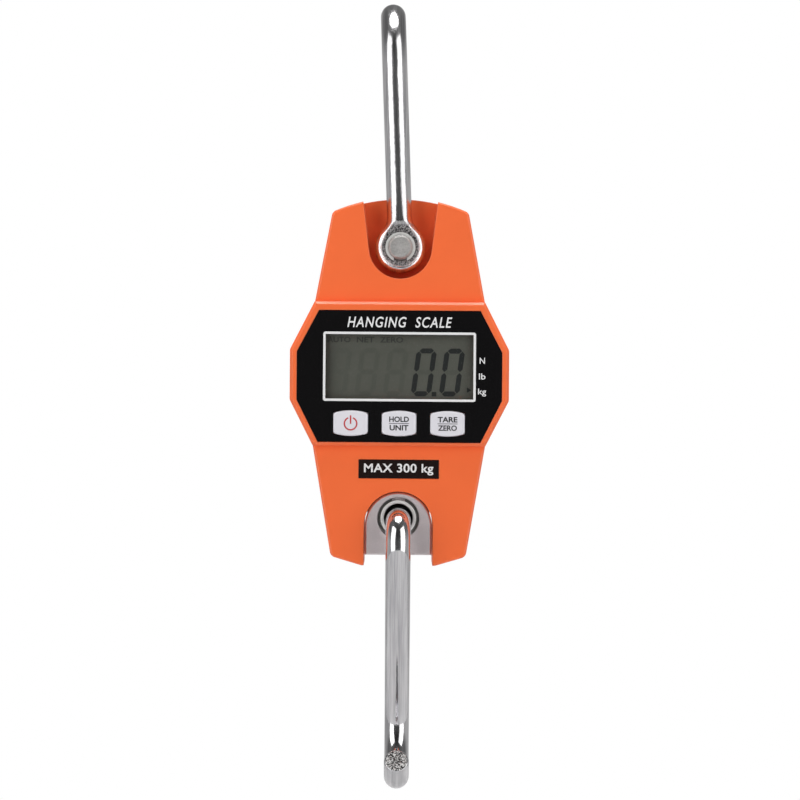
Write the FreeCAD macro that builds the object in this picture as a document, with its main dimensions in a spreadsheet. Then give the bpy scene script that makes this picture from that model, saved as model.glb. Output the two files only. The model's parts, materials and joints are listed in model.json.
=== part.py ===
"""Hanging digital scale: a two-shell case round an aluminium load cell, a steel hook at each end.

The design is drawn in the hook pin's frame: the pin's axis is the line x = 0, z = 0 and runs along Y, the
display faces -Y, +Z is up, and y = 0 is the parting plane between the front and the rear shell.
Every sub-part is then placed so that the row's origin is the upper hook's seat, where the scale hangs.
"""

import FreeCAD
import Part
import Sketcher

import os
import re

Vector = FreeCAD.Vector
Placement = FreeCAD.Placement
Rotation = FreeCAD.Rotation

DIMENSIONS = [
    # hooks
    ("rod_radius", 4.0, "radius of the round bar that both hooks are bent from"),
    ("bowl_radius", 10.5, "inner radius of both hook bowls"),
    ("tip_chamfer", 0.5, "chamfer on the hooks' cut ends"),
    ("hook_lean", 2.2, "angle that the upper hook leans to the left at rest, degrees"),
    ("upper_reach", 71.1, "pin centre to the upper hook's seat"),
    ("neck_straight", 9.0, "pin centre to where the upper shank starts to bend forward"),
    ("neck_bend_radius", 20.0, "centre line radius of that bend"),
    ("upper_flare", 14.0, "outward flare of the upper hook's tip, degrees"),
    ("upper_tip_length", 7.0, "straight length after the upper bowl"),
    ("eye_radius", 8.15, "outer radius of the forged eye"),
    ("eye_flat", 0.2, "bar's thickness less the eye's, taken by the two forged flats"),
    ("eye_edge", 2.4, "rounding of the eye's rim"),
    ("eye_inset", 1.2, "panels' face to the eye's front face"),
    ("neck_length", 12.6, "pin centre to where the eye's neck has run out into the shank"),
    ("neck_half", 6.2, "half width of the neck where it joins the eye"),
    ("neck_inset", 0.96, "eye's flats to the neck's faces"),
    ("lower_reach", 79.9, "bush centre to the lower hook's seat"),
    ("lower_bend_radius", 7.0, "centre line radius of the bend outside the bush"),
    ("lower_rise", 32.0, "upward angle of the lower hook's tip, degrees"),
    ("lower_tip_length", 8.5, "straight length after the lower bowl"),
    ("bend_gap", 0.5, "bush face to the start of the lower bend"),
    # hook pin and its ring
    ("pin_radius", 4.0, "radius of the hook pin"),
    ("pin_shoulder", 2.0, "radius of the pin's head, and of the thrust sleeve, beyond the pin's"),
    ("pin_head_length", 2.5, "length of the pin's head"),
    ("pin_chamfer", 0.7, "chamfer on the pin's front end"),
    ("pin_end_length", 0.7, "pin beyond its snap ring"),
    ("running_gap", 0.05, "radial gap of a running fit"),
    ("seat_gap", 0.05, "gap between parts that seat on each other"),
    ("ring_thickness", 0.9, "thickness of a snap ring"),
    ("ring_width", 1.25, "radial width of a snap ring"),
    ("groove_depth", 0.5, "depth of a snap ring's groove"),
    ("ring_opening", 4.2, "width of a snap ring's gap"),
    # lower bush
    ("bore_drop", 86.7, "pin centre to bush centre"),
    ("stub_clearance", 0.6, "radial play of the lower hook's stub in its bush"),
    ("bush_wall", 1.1, "wall of the lower bush"),
    ("bush_flange_width", 1.7, "radius of the bush's rear flange beyond the bush's"),
    ("bush_flange_length", 1.2, "length of the bush's rear flange"),
    ("bush_proud", 0.3, "bush ahead of the cell's lower face"),
    ("bush_end_length", 0.7, "bush beyond its snap ring"),
    ("bush_mouth", 0.6, "rounding of the bush's front bore edge"),
    ("ring_clearance", 0.3, "gap round the bush's snap ring"),
    ("ring_recess_depth", 1.9, "depth of the recess for that ring"),
    ("washer_width", 3.0, "radial width of the washer behind the bush"),
    ("washer_thickness", 1.2, "thickness of that washer"),
    ("stub_end_length", 1.4, "lower hook's stub beyond its snap ring"),
    # case outline, half widths and drops below the pin
    ("top_half", 21.8, "half width at the top corners"),
    ("top_rise", 11.2, "top corners above the pin"),
    ("crown_rise", 15.9, "top of the crowned edge above the pin"),
    ("upper_waist_half", 27.2, "half width where the display zone starts"),
    ("upper_waist_drop", 17.6, "drop of the display zone's upper edge"),
    ("belly_half", 35.0, "half width at the belly"),
    ("belly_top_drop", 32.9, "drop of the belly's upper corners"),
    ("belly_bottom_drop", 49.0, "drop of the belly's lower corners"),
    ("lower_waist_half", 27.6, "half width where the display zone ends"),
    ("lower_waist_drop", 63.5, "drop of the display zone's lower edge"),
    ("foot_half", 21.6, "half width at the lower corners"),
    ("foot_drop", 99.0, "drop of the lower corners"),
    ("lip_half", 11.8, "half width of the lips beside the notch"),
    ("lip_drop", 101.9, "drop of those lips"),
    ("zone_step", 2.6, "upper and lower panels' face behind the display zone's"),
    ("wall", 2.0, "wall thickness of both shells"),
    ("side_ratio", 1.13, "a slanted side's wall, measured level, for each unit of wall"),
    ("rib_wall", 1.6, "thickness of the walls inside the shells"),
    ("corner_radius", 2.2, "rounding of the outline's corners"),
    ("panel_edge", 0.8, "rounding round the panels' edges"),
    ("zone_edge", 0.9, "bevel round the display zone"),
    # pocket for the upper hook's eye
    ("eye_clearance", 1.95, "gap between the eye and its pocket"),
    ("pocket_flare", 7.0, "flare of the pocket's sides, degrees"),
    ("floor_clearance", 0.8, "eye's rear face to the pocket's floor"),
    ("floor_thickness", 1.6, "thickness of the pocket floor"),
    # notch for the lower boss
    ("notch_half", 11.0, "half width of the notch, and its arch radius"),
    ("arch_drop", 2.5, "notch's arch centre below the bush centre"),
    ("boss_gap", 0.3, "gap between the cell's boss and the notch"),
    # load cell
    ("cell_half", 10.0, "half width of the load cell"),
    ("cell_clearance", 2.2, "board's rear face to the cell"),
    ("cell_thickness", 10.0, "thickness of the cell's middle"),
    ("cell_gap", 0.6, "gap round the cell where it passes a shell's rib"),
    ("boss_inset", 1.0, "panels' face to the lower boss's front face"),
    ("boss_rear", 7.4, "lower boss's and upper lug's rear face, behind the parting plane"),
    ("boss_edge", 0.5, "bevel on the boss's front edge"),
    ("boss_drop", 98.5, "drop of the boss's lower end"),
    ("lug_clearance", 0.2, "pocket floor's rear face to the upper lug"),
    ("lug_overlap", 6.0, "length over which the lug and the cell's middle overlap"),
    ("slot_width", 1.5, "width of the two slots that free the sensing web"),
    ("slot_depth", 16.0, "depth of those slots"),
    ("upper_slot_drop", 24.0, "drop of the upper slot"),
    ("lower_slot_drop", 60.5, "drop of the lower slot"),
    ("web_hole_radius", 5.5, "radius of the two holes in the sensing web"),
    ("web_hole_drop", 35.0, "drop of the upper web hole"),
    ("web_hole_pitch", 14.0, "distance between the web holes"),
    ("gauge_length", 6.0, "length of a strain gauge"),
    ("gauge_width", 4.0, "width of a strain gauge"),
    ("gauge_thickness", 0.2, "thickness of a strain gauge"),
    ("cell_screw_half", 6.5, "half distance between the screws that hold the cell"),
    ("cell_screw_drop", 15.5, "drop of those screws"),
    ("cell_screw_radius", 1.5, "radius of those screws"),
    ("cell_screw_head_radius", 2.8, "radius of their heads"),
    ("cell_screw_head_length", 2.0, "length of their heads"),
    ("cell_screw_grip", 3.4, "length of those screws inside the front shell's posts"),
    # overlay, window and label
    ("overlay_thickness", 0.4, "thickness of the front overlay"),
    ("overlay_recess", 0.5, "depth of the overlay's recess"),
    ("overlay_gap", 0.1, "gap round the overlay"),
    ("rim_side", 2.3, "width of the rim beside the overlay"),
    ("rim_top", 2.8, "width of the rim above the overlay"),
    ("rim_bottom", 1.1, "width of the rim below the overlay"),
    ("overlay_side_drop", 0.7, "belly's upper corners to the overlay's"),
    ("overlay_top_inset", 1.5, "waist half width less the overlay's upper half width"),
    ("overlay_bottom_inset", 1.7, "waist half width less the overlay's lower half width"),
    ("window_half_width", 23.85, "half width of the clear window"),
    ("window_half_height", 10.45, "half height of the clear window"),
    ("window_drop", 38.3, "drop of the window's centre"),
    ("window_flange", 0.8, "window's flange behind the overlay"),
    ("window_thickness", 1.3, "thickness of the window with its flange"),
    ("label_half_width", 12.8, "half width of the capacity label"),
    ("label_half_height", 3.0, "half height of the capacity label"),
    ("label_drop", 71.0, "drop of the label's centre"),
    ("label_thickness", 0.2, "thickness of the label"),
    ("label_recess", 0.1, "depth of the label's recess"),
    # keys and switches
    ("key_half_width", 5.5, "half width of a key"),
    ("key_side_half", 3.2, "half height of a key at its sides"),
    ("key_crown", 0.85, "rise of a key's curved edges"),
    ("key_corner", 1.0, "rounding of a key's corners"),
    ("key_edge", 0.45, "rounding of a key's front edge"),
    ("key_pitch", 15.45, "distance between keys"),
    ("key_drop", 56.4, "drop of the keys' centres"),
    ("key_proud", 0.6, "keys ahead of the display zone"),
    ("key_gap", 0.15, "gap round a key"),
    ("key_flange", 0.4, "key's flange behind the wall"),
    ("key_flange_length", 0.8, "thickness of that flange"),
    ("key_travel", 0.5, "travel of a key"),
    ("switch_half", 3.0, "half width of a tact switch"),
    ("switch_height", 2.4, "height of a tact switch"),
    ("plunger_radius", 1.7, "radius of a tact switch's plunger"),
    ("plunger_length", 1.4, "length of that plunger"),
    ("plunger_gap", 0.15, "gap round that plunger"),
    # display module and main board
    ("glass_half_width", 25.4, "half width of the liquid crystal glass"),
    ("glass_half_height", 12.0, "half height of the glass"),
    ("glass_thickness", 2.0, "thickness of the glass"),
    ("glass_gap", 0.1, "gap round the glass, and between it and the shell"),
    ("holder_wall", 1.0, "wall of the frame that holds the glass"),
    ("backlight_half_width", 23.0, "half width of the backlight"),
    ("backlight_half_height", 9.4, "half height of the backlight"),
    ("backlight_thickness", 1.4, "thickness of the backlight"),
    ("strip_width", 1.8, "width of a contact strip between glass and board"),
    ("board_setback", 6.0, "display zone's face to the board"),
    ("board_thickness", 1.2, "thickness of the board"),
    ("board_inset", 3.5, "belly half width less the board's half width"),
    ("board_end_inset", 3.0, "waist edge to the board's end"),
    ("board_end_half_inset", 3.6, "waist half width less the board's half width at its ends"),
    ("board_screw_radius", 1.0, "radius of the board's screws"),
    ("board_screw_head_radius", 1.9, "radius of their heads"),
    ("board_screw_head_length", 1.2, "length of their heads"),
    ("board_screw_grip", 3.0, "length of those screws inside the posts"),
    ("board_post_radius", 2.2, "radius of the posts under the board"),
    ("upper_post_half", 29.4, "half distance between the board's upper posts"),
    ("upper_post_drop", 36.0, "drop of those posts"),
    ("lower_post_half", 25.5, "half distance between the board's lower posts"),
    ("lower_post_drop", 54.2, "drop of those posts"),
    ("chip_half", 4.5, "half width of the controller chip"),
    ("chip_height", 1.4, "height of the chips"),
    ("chip_offset", 19.0, "centre line to the chips' centres"),
    ("chip_drop", 33.0, "drop of the chips' centres"),
    ("amplifier_half_length", 3.15, "half length of the amplifier chip"),
    ("amplifier_half_width", 2.25, "half width of the amplifier chip"),
    ("component_half_length", 0.9, "half length of a small component"),
    ("component_half_width", 0.65, "half width of a small component"),
    ("component_height", 0.85, "height of a small component"),
    ("component_pitch", 4.5, "distance between the small components in a row"),
    ("component_row_drop", 43.0, "drop of the first row of small components"),
    ("component_row_pitch", 3.2, "distance between their two rows"),
    ("crystal_radius", 0.65, "radius of the crystal's can"),
    ("crystal_half_length", 2.7, "half length of the crystal's can"),
    ("crystal_drop", 42.0, "drop of the crystal"),
    # screws
    ("cross_reach", 0.62, "reach of a screw's cross recess for each unit of its head's radius"),
    ("cross_arm", 0.14, "half width of the recess's arms for each unit of the head's radius"),
    ("case_screw_radius", 1.3, "radius of the screws that hold the shells together"),
    ("case_screw_head_radius", 2.4, "radius of their heads"),
    ("case_screw_head_length", 1.8, "length of their heads"),
    ("case_screw_grip", 9.0, "length of those screws inside the front shell's posts"),
    ("case_post_radius", 3.0, "radius of the front shell's posts"),
    ("rear_post_radius", 4.0, "radius of the rear shell's posts"),
    ("screw_seat", 4.4, "thickness of the rear post under a screw's head"),
    ("screw_gap", 0.3, "gap round a screw or its head in a clearance hole"),
    ("upper_screw_half", 16.9, "half distance between the upper case screws"),
    ("upper_screw_rise", 3.0, "rise of the upper case screws above the pin"),
    ("lower_screw_half", 17.0, "half distance between the lower case screws"),
    ("lower_screw_drop", 87.0, "drop of the lower case screws"),
    # batteries, their bay and its door
    ("battery_radius", 5.25, "radius of a battery"),
    ("battery_length", 44.5, "length of a battery with its nub"),
    ("nub_radius", 1.9, "radius of a battery's nub"),
    ("nub_length", 1.0, "length of that nub"),
    ("battery_gap", 0.7, "gap between batteries, and round them in the bay"),
    ("bay_clearance", 0.8, "cell's rear face to the bay's floor"),
    ("bay_wall", 1.2, "thickness of the bay's walls"),
    ("bay_drop", 40.3, "drop of the bay's centre"),
    ("spring_length", 3.4, "room for a battery spring"),
    ("spring_wire", 0.3, "radius of a battery spring's wire"),
    ("spring_turns", 3, "turns of a battery spring"),
    ("spring_radius", 3.2, "radius of a battery spring's largest turn"),
    ("contact_thickness", 0.4, "thickness of a battery contact"),
    ("contact_half", 4.2, "half width of a battery contact"),
    ("door_thickness", 1.6, "thickness of the battery door"),
    ("door_half", 24.6, "half width of the door's outer face"),
    ("door_tongue", 0.8, "width and thickness of the door's tongues"),
    ("door_gap", 0.15, "gap round the battery door"),
    ("door_top_drop", 21.6, "drop of the door's upper edge"),
    ("door_grip_count", 5, "number of grip grooves in the door"),
    ("door_grip_pitch", 2.4, "distance between grip grooves"),
    ("door_grip_half", 8.0, "half length of a grip groove"),
    ("door_grip_width", 1.2, "width of a grip groove"),
    ("door_grip_depth", 0.5, "depth of a grip groove"),
    ("door_grip_drop", 52.0, "drop of the first grip groove"),
    ("door_edge", 0.4, "rounding of the door's outer edges"),
    # leads
    ("lead_radius", 0.6, "radius of a lead"),
    ("lead_bend", 2.5, "bend radius of a lead's centre line"),
    ("lead_step", 3.0, "sideways step of a battery lead"),
    ("lead_offset", 17.5, "centre line to the outer battery lead"),
    ("lead_pitch", 2.4, "distance between the battery leads"),
    ("lead_drop", 27.0, "drop of the battery leads"),
    ("cell_lead_reach", 4.2, "cell's side to the cell lead's run towards the board"),
    ("cell_lead_drop", 42.0, "drop of the cell lead"),
]

DERIVED = [
    # the parting plane halves everything from the display zone's face to the battery door's
    ("stack", "board_setback + board_thickness + cell_clearance + cell_thickness + bay_clearance + bay_wall"
              " + battery_gap / 2 + 2 * battery_radius + door_gap + door_thickness"),
    ("zone_depth", "stack / 2"),
    ("panel_depth", "zone_depth - zone_step"),
    ("board_front", "zone_depth - board_setback"),
    ("cell_front", "board_front - board_thickness - cell_clearance"),
    ("boss_front", "panel_depth - boss_inset"),
    ("eye_front", "panel_depth - eye_inset"),
    ("eye_thickness", "2 * rod_radius - eye_flat"),
    ("floor_front", "eye_front - eye_thickness - floor_clearance"),
    ("lug_front", "floor_front - floor_thickness - lug_clearance"),
    # radii of the parts that turn in each other
    ("pocket_radius", "eye_radius + eye_clearance"),
    ("pin_head_radius", "pin_radius + pin_shoulder"),
    ("bush_bore_radius", "rod_radius + stub_clearance"),
    ("bush_radius", "bush_bore_radius + bush_wall"),
    ("bush_flange_radius", "bush_radius + bush_flange_width"),
    ("ring_recess_radius", "bush_radius - groove_depth + ring_width + ring_clearance"),
    ("washer_radius", "rod_radius + washer_width"),
    # lengths and places, from the driving dimensions
    ("bite", "wall / 2"),
    ("bowl_line", "bowl_radius + rod_radius"),
    ("seat_y", "cell_thickness / 2 - cell_front"),
    ("eye_rear", "eye_thickness - eye_front"),
    ("eye_middle", "eye_thickness / 2 - eye_front"),
    ("upper_bowl_z", "upper_reach - bowl_radius"),
    ("lower_bowl_z", "bowl_radius - bore_drop - lower_reach"),
    ("bush_z", "-bore_drop"),
    ("stub_z", "rod_radius + running_gap - bore_drop - bush_bore_radius"),
    ("arch_z", "-bore_drop - arch_drop"),
    ("bush_face", "-boss_front - bush_proud"),
    ("bush_groove", "bush_face + bush_end_length"),
    ("bend_start", "bush_face - bend_gap"),
    ("washer_y", "boss_rear + bush_flange_length + seat_gap"),
    ("stub_ring_y", "washer_y + washer_thickness + seat_gap"),
    ("stub_end", "stub_ring_y + ring_thickness + stub_end_length"),
    ("pin_ring_y", "-eye_front - seat_gap - ring_thickness"),
    ("pin_end", "pin_ring_y - pin_end_length"),
    ("floor_back", "floor_thickness - floor_front"),
    ("cell_rear", "cell_thickness - cell_front"),
    ("bay_floor", "cell_rear + bay_clearance + bay_wall"),
    ("cell_top", "-pocket_radius - rib_wall - cell_gap - seat_gap"),
    ("web_low", "-web_hole_drop - web_hole_pitch"),
    ("side_wall", "side_ratio * wall"),
    ("panel_inner", "panel_depth - wall"),
    ("zone_inner", "zone_depth - wall"),
    ("film_back", "overlay_recess - zone_depth"),
    ("film_front", "film_back - overlay_thickness"),
    ("glass_front", "wall + glass_gap - zone_depth"),
    ("glass_rear", "glass_front + glass_thickness"),
    ("board_rear", "board_thickness - board_front"),
    ("key_rear", "wall - zone_depth + seat_gap + key_flange_length"),
    ("bay_half_x", "battery_length / 2 + spring_length / 2 + contact_thickness"),
    ("bay_half_z", "3 * battery_radius + 2 * battery_gap"),
    ("battery_y", "bay_floor + battery_gap / 2 + battery_radius"),
    ("battery_pitch", "2 * battery_radius + battery_gap"),
    ("door_inner", "zone_depth - door_thickness"),
    ("channel_half", "door_half + door_tongue + door_gap"),
    # each shank is the line that is tangent to the bend at its one end and to the bowl at its other
    ("upper_span_y", "seat_y - eye_middle + neck_bend_radius"),
    ("upper_span_z", "upper_bowl_z - neck_straight"),
    ("lower_span_y", "seat_y - bend_start"),
    ("lower_span_z", "stub_z - lower_bend_radius - lower_bowl_z"),
]
DERIVED_ANGLES = [
    ("upper_tilt", "asin((neck_bend_radius + bowl_line) / sqrt(upper_span_y ^ 2 + upper_span_z ^ 2))"
                   " - atan(upper_span_y / upper_span_z)"),
    ("lower_tilt", "asin((lower_bend_radius + bowl_line) / sqrt(lower_span_y ^ 2 + lower_span_z ^ 2))"
                   " + atan(lower_span_y / lower_span_z)"),
    ("lean", "hook_lean * 1 deg"),
    ("upper_open", "upper_flare * 1 deg"),
    ("lower_open", "lower_rise * 1 deg"),
    ("pocket_slant", "pocket_flare * 1 deg"),
]
BEYOND = "3"  # how far a cut runs past the face that it starts from
CLOSE = 0.1  # how near two places are when they count as one
SPRING_SEGMENT = 0.25  # turns of a coil that are one face

doc = FreeCAD.newDocument("hanging_scale")
sheet = doc.addObject("Spreadsheet::Sheet", "dims")
derived = doc.addObject("App::VarSet", "derived")
NAMES = {alias: f"dims.{alias}" for alias, size, meaning in DIMENSIONS}
NAMES.update({name: f"derived.{name}" for name, text in DERIVED + DERIVED_ANGLES})
finished = []


def bound(text):
    """The expression with each value's name pointing at its sheet or set."""
    return re.sub(r"[a-z_]+", lambda word: NAMES.get(word[0], word[0]), text)


def fill_values():
    """Puts the driving dimensions in the sheet and the derived values in the set."""
    for row, (alias, size, meaning) in enumerate(DIMENSIONS, start=1):
        sheet.set(f"A{row}", meaning)
        sheet.set(f"B{row}", str(size))
        sheet.setAlias(f"B{row}", alias)
    doc.recompute()
    for kind, values in (("App::PropertyFloat", DERIVED), ("App::PropertyAngle", DERIVED_ANGLES)):
        for name, text in values:
            derived.addProperty(kind, name)
            derived.setExpression(name, bound(text))
            doc.recompute()


fill_values()


# ---------------------------------------------------------------- helpers

def number(text):
    return float(sheet.evalExpression(bound(text)))


def bind(thing, prop, text):
    thing.setExpression(prop, bound(text))


def finish(thing, label):
    """Names a sub-part and puts it in the row's frame."""
    thing.Label = label
    bind(thing, "Placement.Base.x", "upper_reach * sin(lean)")
    bind(thing, "Placement.Base.y", "-seat_y")
    bind(thing, "Placement.Base.z", "-upper_reach * cos(lean)")
    finished.append(thing)
    return thing


def new_body(name):
    return doc.addObject("PartDesign::Body", name)


def plane_of(body, role):
    return next(f for f in body.Origin.OriginFeatures if f.Role == role)


def at(u, v):
    return Vector(number(u), number(v), 0)


def fix_point(sketch, index, pos, u, v):
    """Ties a sketch point to two expressions."""
    for kind, text in (("DistanceX", u), ("DistanceY", v)):
        value = number(text)
        made = sketch.addConstraint(Sketcher.Constraint(kind, -1, 1, index, pos, value))
        sketch.setExpression(f"Constraints[{made}]", bound(text))


def fix_radius(sketch, index, text):
    made = sketch.addConstraint(Sketcher.Constraint("Radius", index, number(text)))
    sketch.setExpression(f"Constraints[{made}]", bound(text))


def fix_arc(sketch, index, kind, text):
    if kind == "Radius":
        fix_radius(sketch, index, text)
        return
    made = sketch.addConstraint(Sketcher.Constraint(kind, -1, 1, index, 3, number(text)))
    sketch.setExpression(f"Constraints[{made}]", bound(text))


def draw_circle(sketch, centre, radius):
    u, v = centre
    circle = Part.Circle(at(u, v), Vector(0, 0, 1), number(radius))
    index = sketch.addGeometry(circle, False)
    fix_point(sketch, index, 3, u, v)
    fix_radius(sketch, index, radius)


def arc_to(u, v, mid_u, mid_v, radius=None, centre_u=None, centre_v=None):
    """A step along an arc through (mid_u, mid_v), held by its radius or by one coordinate of its centre."""
    kind = "Radius" if radius else "DistanceX" if centre_u else "DistanceY"
    return (u, v, mid_u, mid_v, kind, radius or centre_u or centre_v)


def draw_chain(sketch, chain, closed=True):
    """Draws lines and arcs through a chain of steps: (u, v) is reached by a line, arc_to(...) by an arc."""
    start = chain[0][:2]
    steps = list(chain[1:])
    if closed:
        last = chain[0] if len(chain[0]) > 2 else start
        steps.append(last)
    here = start
    joints = []
    for step in steps:
        there = step[:2]
        if len(step) == 2:
            edge = Part.LineSegment(at(*here), at(*there))
            index = sketch.addGeometry(edge, False)
            first, second = 1, 2
        else:
            points = [at(*here), at(*step[2:4]), at(*there)]
            turn = (points[1] - points[0]).cross(points[2] - points[1]).z
            first, second = (1, 2) if turn > 0 else (2, 1)
            edge = Part.Arc(*(points if turn > 0 else reversed(points)))
            index = sketch.addGeometry(edge, False)
        joints.append((index, first, second, there, step))
        here = there
    for one, other in zip(joints, joints[1:]):
        sketch.addConstraint(Sketcher.Constraint("Coincident", one[0], one[2], other[0], other[1]))
    if closed:
        sketch.addConstraint(Sketcher.Constraint("Coincident", joints[-1][0], joints[-1][2],
                                                 joints[0][0], joints[0][1]))
    else:
        fix_point(sketch, joints[0][0], joints[0][1], *start)
    for index, first, second, there, step in joints:
        fix_point(sketch, index, second, *there)
        if len(step) > 2:
            fix_arc(sketch, index, *step[4:])


def draw(body, name, loops, role="XZ_Plane", offset="0"):
    """A sketch of closed loops on one of the body's planes, moved along its normal."""
    sketch = body.newObject("Sketcher::SketchObject", name)
    sketch.AttachmentSupport = (plane_of(body, role), [""])
    sketch.MapMode = "FlatFace"
    bind(sketch, "AttachmentOffset.Base.z", offset)
    for loop in loops:
        if loop[0] == "circle":
            draw_circle(sketch, loop[1], loop[2])
        else:
            draw_chain(sketch, loop)
    return sketch


def pad(body, name, loops, y_low, y_high):
    """Adds the loops' area from y_low to y_high."""
    sketch = draw(body, name + "_sketch", loops, offset=f"-({y_high})")
    feature = body.newObject("PartDesign::Pad", name)
    feature.Profile = sketch
    bind(feature, "Length", f"({y_high}) - ({y_low})")
    return feature


def pocket(body, name, loops, y_low, y_high):
    """Cuts the loops' area from y_low to y_high, and stops if nothing was cut."""
    doc.recompute()
    before = body.Shape.Volume
    sketch = draw(body, name + "_sketch", loops, offset=f"-({y_low})")
    feature = body.newObject("PartDesign::Pocket", name)
    feature.Profile = sketch
    feature.Type = 0
    bind(feature, "Length", f"({y_high}) - ({y_low})")
    doc.recompute()
    if not body.Shape.Volume < before:
        raise RuntimeError(f"{body.Name}: {name} cut nothing")
    return feature


def edges_where(shape, test):
    return [f"Edge{i}" for i, edge in enumerate(shape.Edges, start=1) if test(edge)]


def dress(body, kind, name, test, size):
    """A fillet or chamfer on the edges that pass the test."""
    doc.recompute()
    base = body.Tip
    names = edges_where(base.Shape, test)
    if not names:
        raise RuntimeError(f"{body.Name}: no edges for {name}")
    feature = body.newObject(f"PartDesign::{kind}", name)
    feature.Base = (base, names)
    prop = "Radius" if kind == "Fillet" else "Size"
    bind(feature, prop, size)
    doc.recompute()
    if not feature.isValid():
        raise RuntimeError(f"{body.Name}: {name} failed")
    return feature


def near(a, b, slack=1e-4):
    return abs(a - b) < slack


def ends(edge):
    return [vertex.Point for vertex in edge.Vertexes]


def flat_at_y(edge, y):
    box = edge.BoundBox
    return near(box.YMin, y) and near(box.YMax, y)


def along_y(edge):
    box = edge.BoundBox
    return box.YLength > 1e-3 and box.XLength < 1e-6 and box.ZLength < 1e-6


def rectangle(x_low, x_high, z_low, z_high):
    return [(x_low, z_low), (x_high, z_low), (x_high, z_high), (x_low, z_high)]


def mirrored(right_side):
    """A closed chain from the points of its right half, top to bottom."""
    left = [(f"-({x})", z) for x, z in reversed(right_side)]
    return list(right_side) + left


def arch(radius, centre_z, bottom_z):
    """A half round top on straight sides that run down to bottom_z."""
    return [
        (f"-({radius})", bottom_z),
        (radius, bottom_z),
        (radius, centre_z),
        arc_to(f"-({radius})", centre_z, "0", f"({centre_z}) + {radius}", centre_v=centre_z),
    ]


def cup(radius, top_z, crown_z=None):
    """A round bottom about the pin, and flared sides up to top_z, closed by a line or a shallow crown."""
    side_x, side_z = f"{radius} * cos(pocket_slant)", f"(-{radius} * sin(pocket_slant))"
    top_x = f"({side_x} + (({top_z}) - {side_z}) * tan(pocket_slant))"
    corner = (f"-{top_x}", top_z)
    if crown_z:
        rise = f"(({crown_z}) - ({top_z}))"
        corner = arc_to(*corner, "0", crown_z, radius=f"({top_x} * {top_x} + {rise} * {rise}) / (2 * {rise})")
    bottom = arc_to(side_x, side_z, "0", f"-{radius}", centre_v="0")
    return [(top_x, top_z), corner, (f"-{side_x}", side_z), bottom]


def block(name, x, y, z):
    """A Part box from three (low, high) pairs of expressions."""
    box = doc.addObject("Part::Box", name)
    for prop, axis, (low, high) in (("Length", "x", x), ("Width", "y", y), ("Height", "z", z)):
        bind(box, prop, f"({high}) - ({low})")
        bind(box, f"Placement.Base.{axis}", low)
    return box


def rod(name, radius, x, y, z):
    """A Part cylinder along Y, from a (low, high) pair."""
    low, high = y
    cylinder = doc.addObject("Part::Cylinder", name)
    cylinder.Placement = Placement(Vector(), Rotation(Vector(1, 0, 0), -90))
    bind(cylinder, "Radius", radius)
    bind(cylinder, "Height", f"({high}) - ({low})")
    for axis, text in (("x", x), ("y", low), ("z", z)):
        bind(cylinder, f"Placement.Base.{axis}", text)
    return cylinder


def across(name, radius, x, y, z):
    """A Part cylinder along X, from a (low, high) pair."""
    low, high = x
    cylinder = doc.addObject("Part::Cylinder", name)
    cylinder.Placement = Placement(Vector(), Rotation(Vector(0, 1, 0), 90))
    bind(cylinder, "Radius", radius)
    bind(cylinder, "Height", f"({high}) - ({low})")
    for axis, text in (("x", low), ("y", y), ("z", z)):
        bind(cylinder, f"Placement.Base.{axis}", text)
    return cylinder


def cut(name, base, tool):
    made = doc.addObject("Part::Cut", name)
    made.Base = base
    made.Tool = tool
    return made


def fuse(name, parts):
    made = doc.addObject("Part::MultiFuse", name)
    made.Shapes = parts
    return made


def group(label, parts):
    """One sub-part of one or more separate solids."""
    made = doc.addObject("Part::Compound", label)
    made.Links = parts
    return finish(made, label)


# ---------------------------------------------------------------- shared outlines
def case_outline():
    crown = "crown_rise - top_rise"
    radius = f"(top_half * top_half + ({crown}) * ({crown})) / (2 * ({crown}))"
    right = [
        ("top_half", "top_rise"),
        ("upper_waist_half", "-upper_waist_drop"),
        ("belly_half", "-belly_top_drop"),
        ("belly_half", "-belly_bottom_drop"),
        ("lower_waist_half", "-lower_waist_drop"),
        ("foot_half", "-foot_drop"),
        ("lip_half", "-lip_drop"),
    ]
    chain = mirrored(right)
    chain[0] = arc_to("top_half", "top_rise", "0", "crown_rise", radius=radius)
    return chain


def inner_outline():
    """The inside of the shells' walls; a slanted side is a little more than one wall thick."""
    rise = "(crown_rise - top_rise)"
    half = "(top_half - wall)"
    right = [
        (half, "top_rise - wall"),
        ("upper_waist_half - side_wall", "-upper_waist_drop"),
        ("belly_half - side_wall", "-belly_top_drop"),
        ("belly_half - side_wall", "-belly_bottom_drop"),
        ("lower_waist_half - side_wall", "-lower_waist_drop"),
        ("foot_half - side_wall", "-foot_drop + wall"),
        ("lip_half", "-lip_drop + wall"),
    ]
    chain = mirrored(right)
    radius = f"({half} * {half} + {rise} * {rise}) / (2 * {rise})"
    chain[0] = arc_to(*chain[0], "0", "crown_rise - wall", radius=radius)
    return chain


def inner_zone_outline():
    return mirrored([
        ("upper_waist_half - side_wall", "-upper_waist_drop - wall"),
        ("belly_half - side_wall", "-belly_top_drop"),
        ("belly_half - side_wall", "-belly_bottom_drop"),
        ("lower_waist_half - side_wall", "-lower_waist_drop + wall"),
    ])


def zone_outline():
    return mirrored([
        ("upper_waist_half", "-upper_waist_drop"),
        ("belly_half", "-belly_top_drop"),
        ("belly_half", "-belly_bottom_drop"),
        ("lower_waist_half", "-lower_waist_drop"),
    ])


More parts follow.
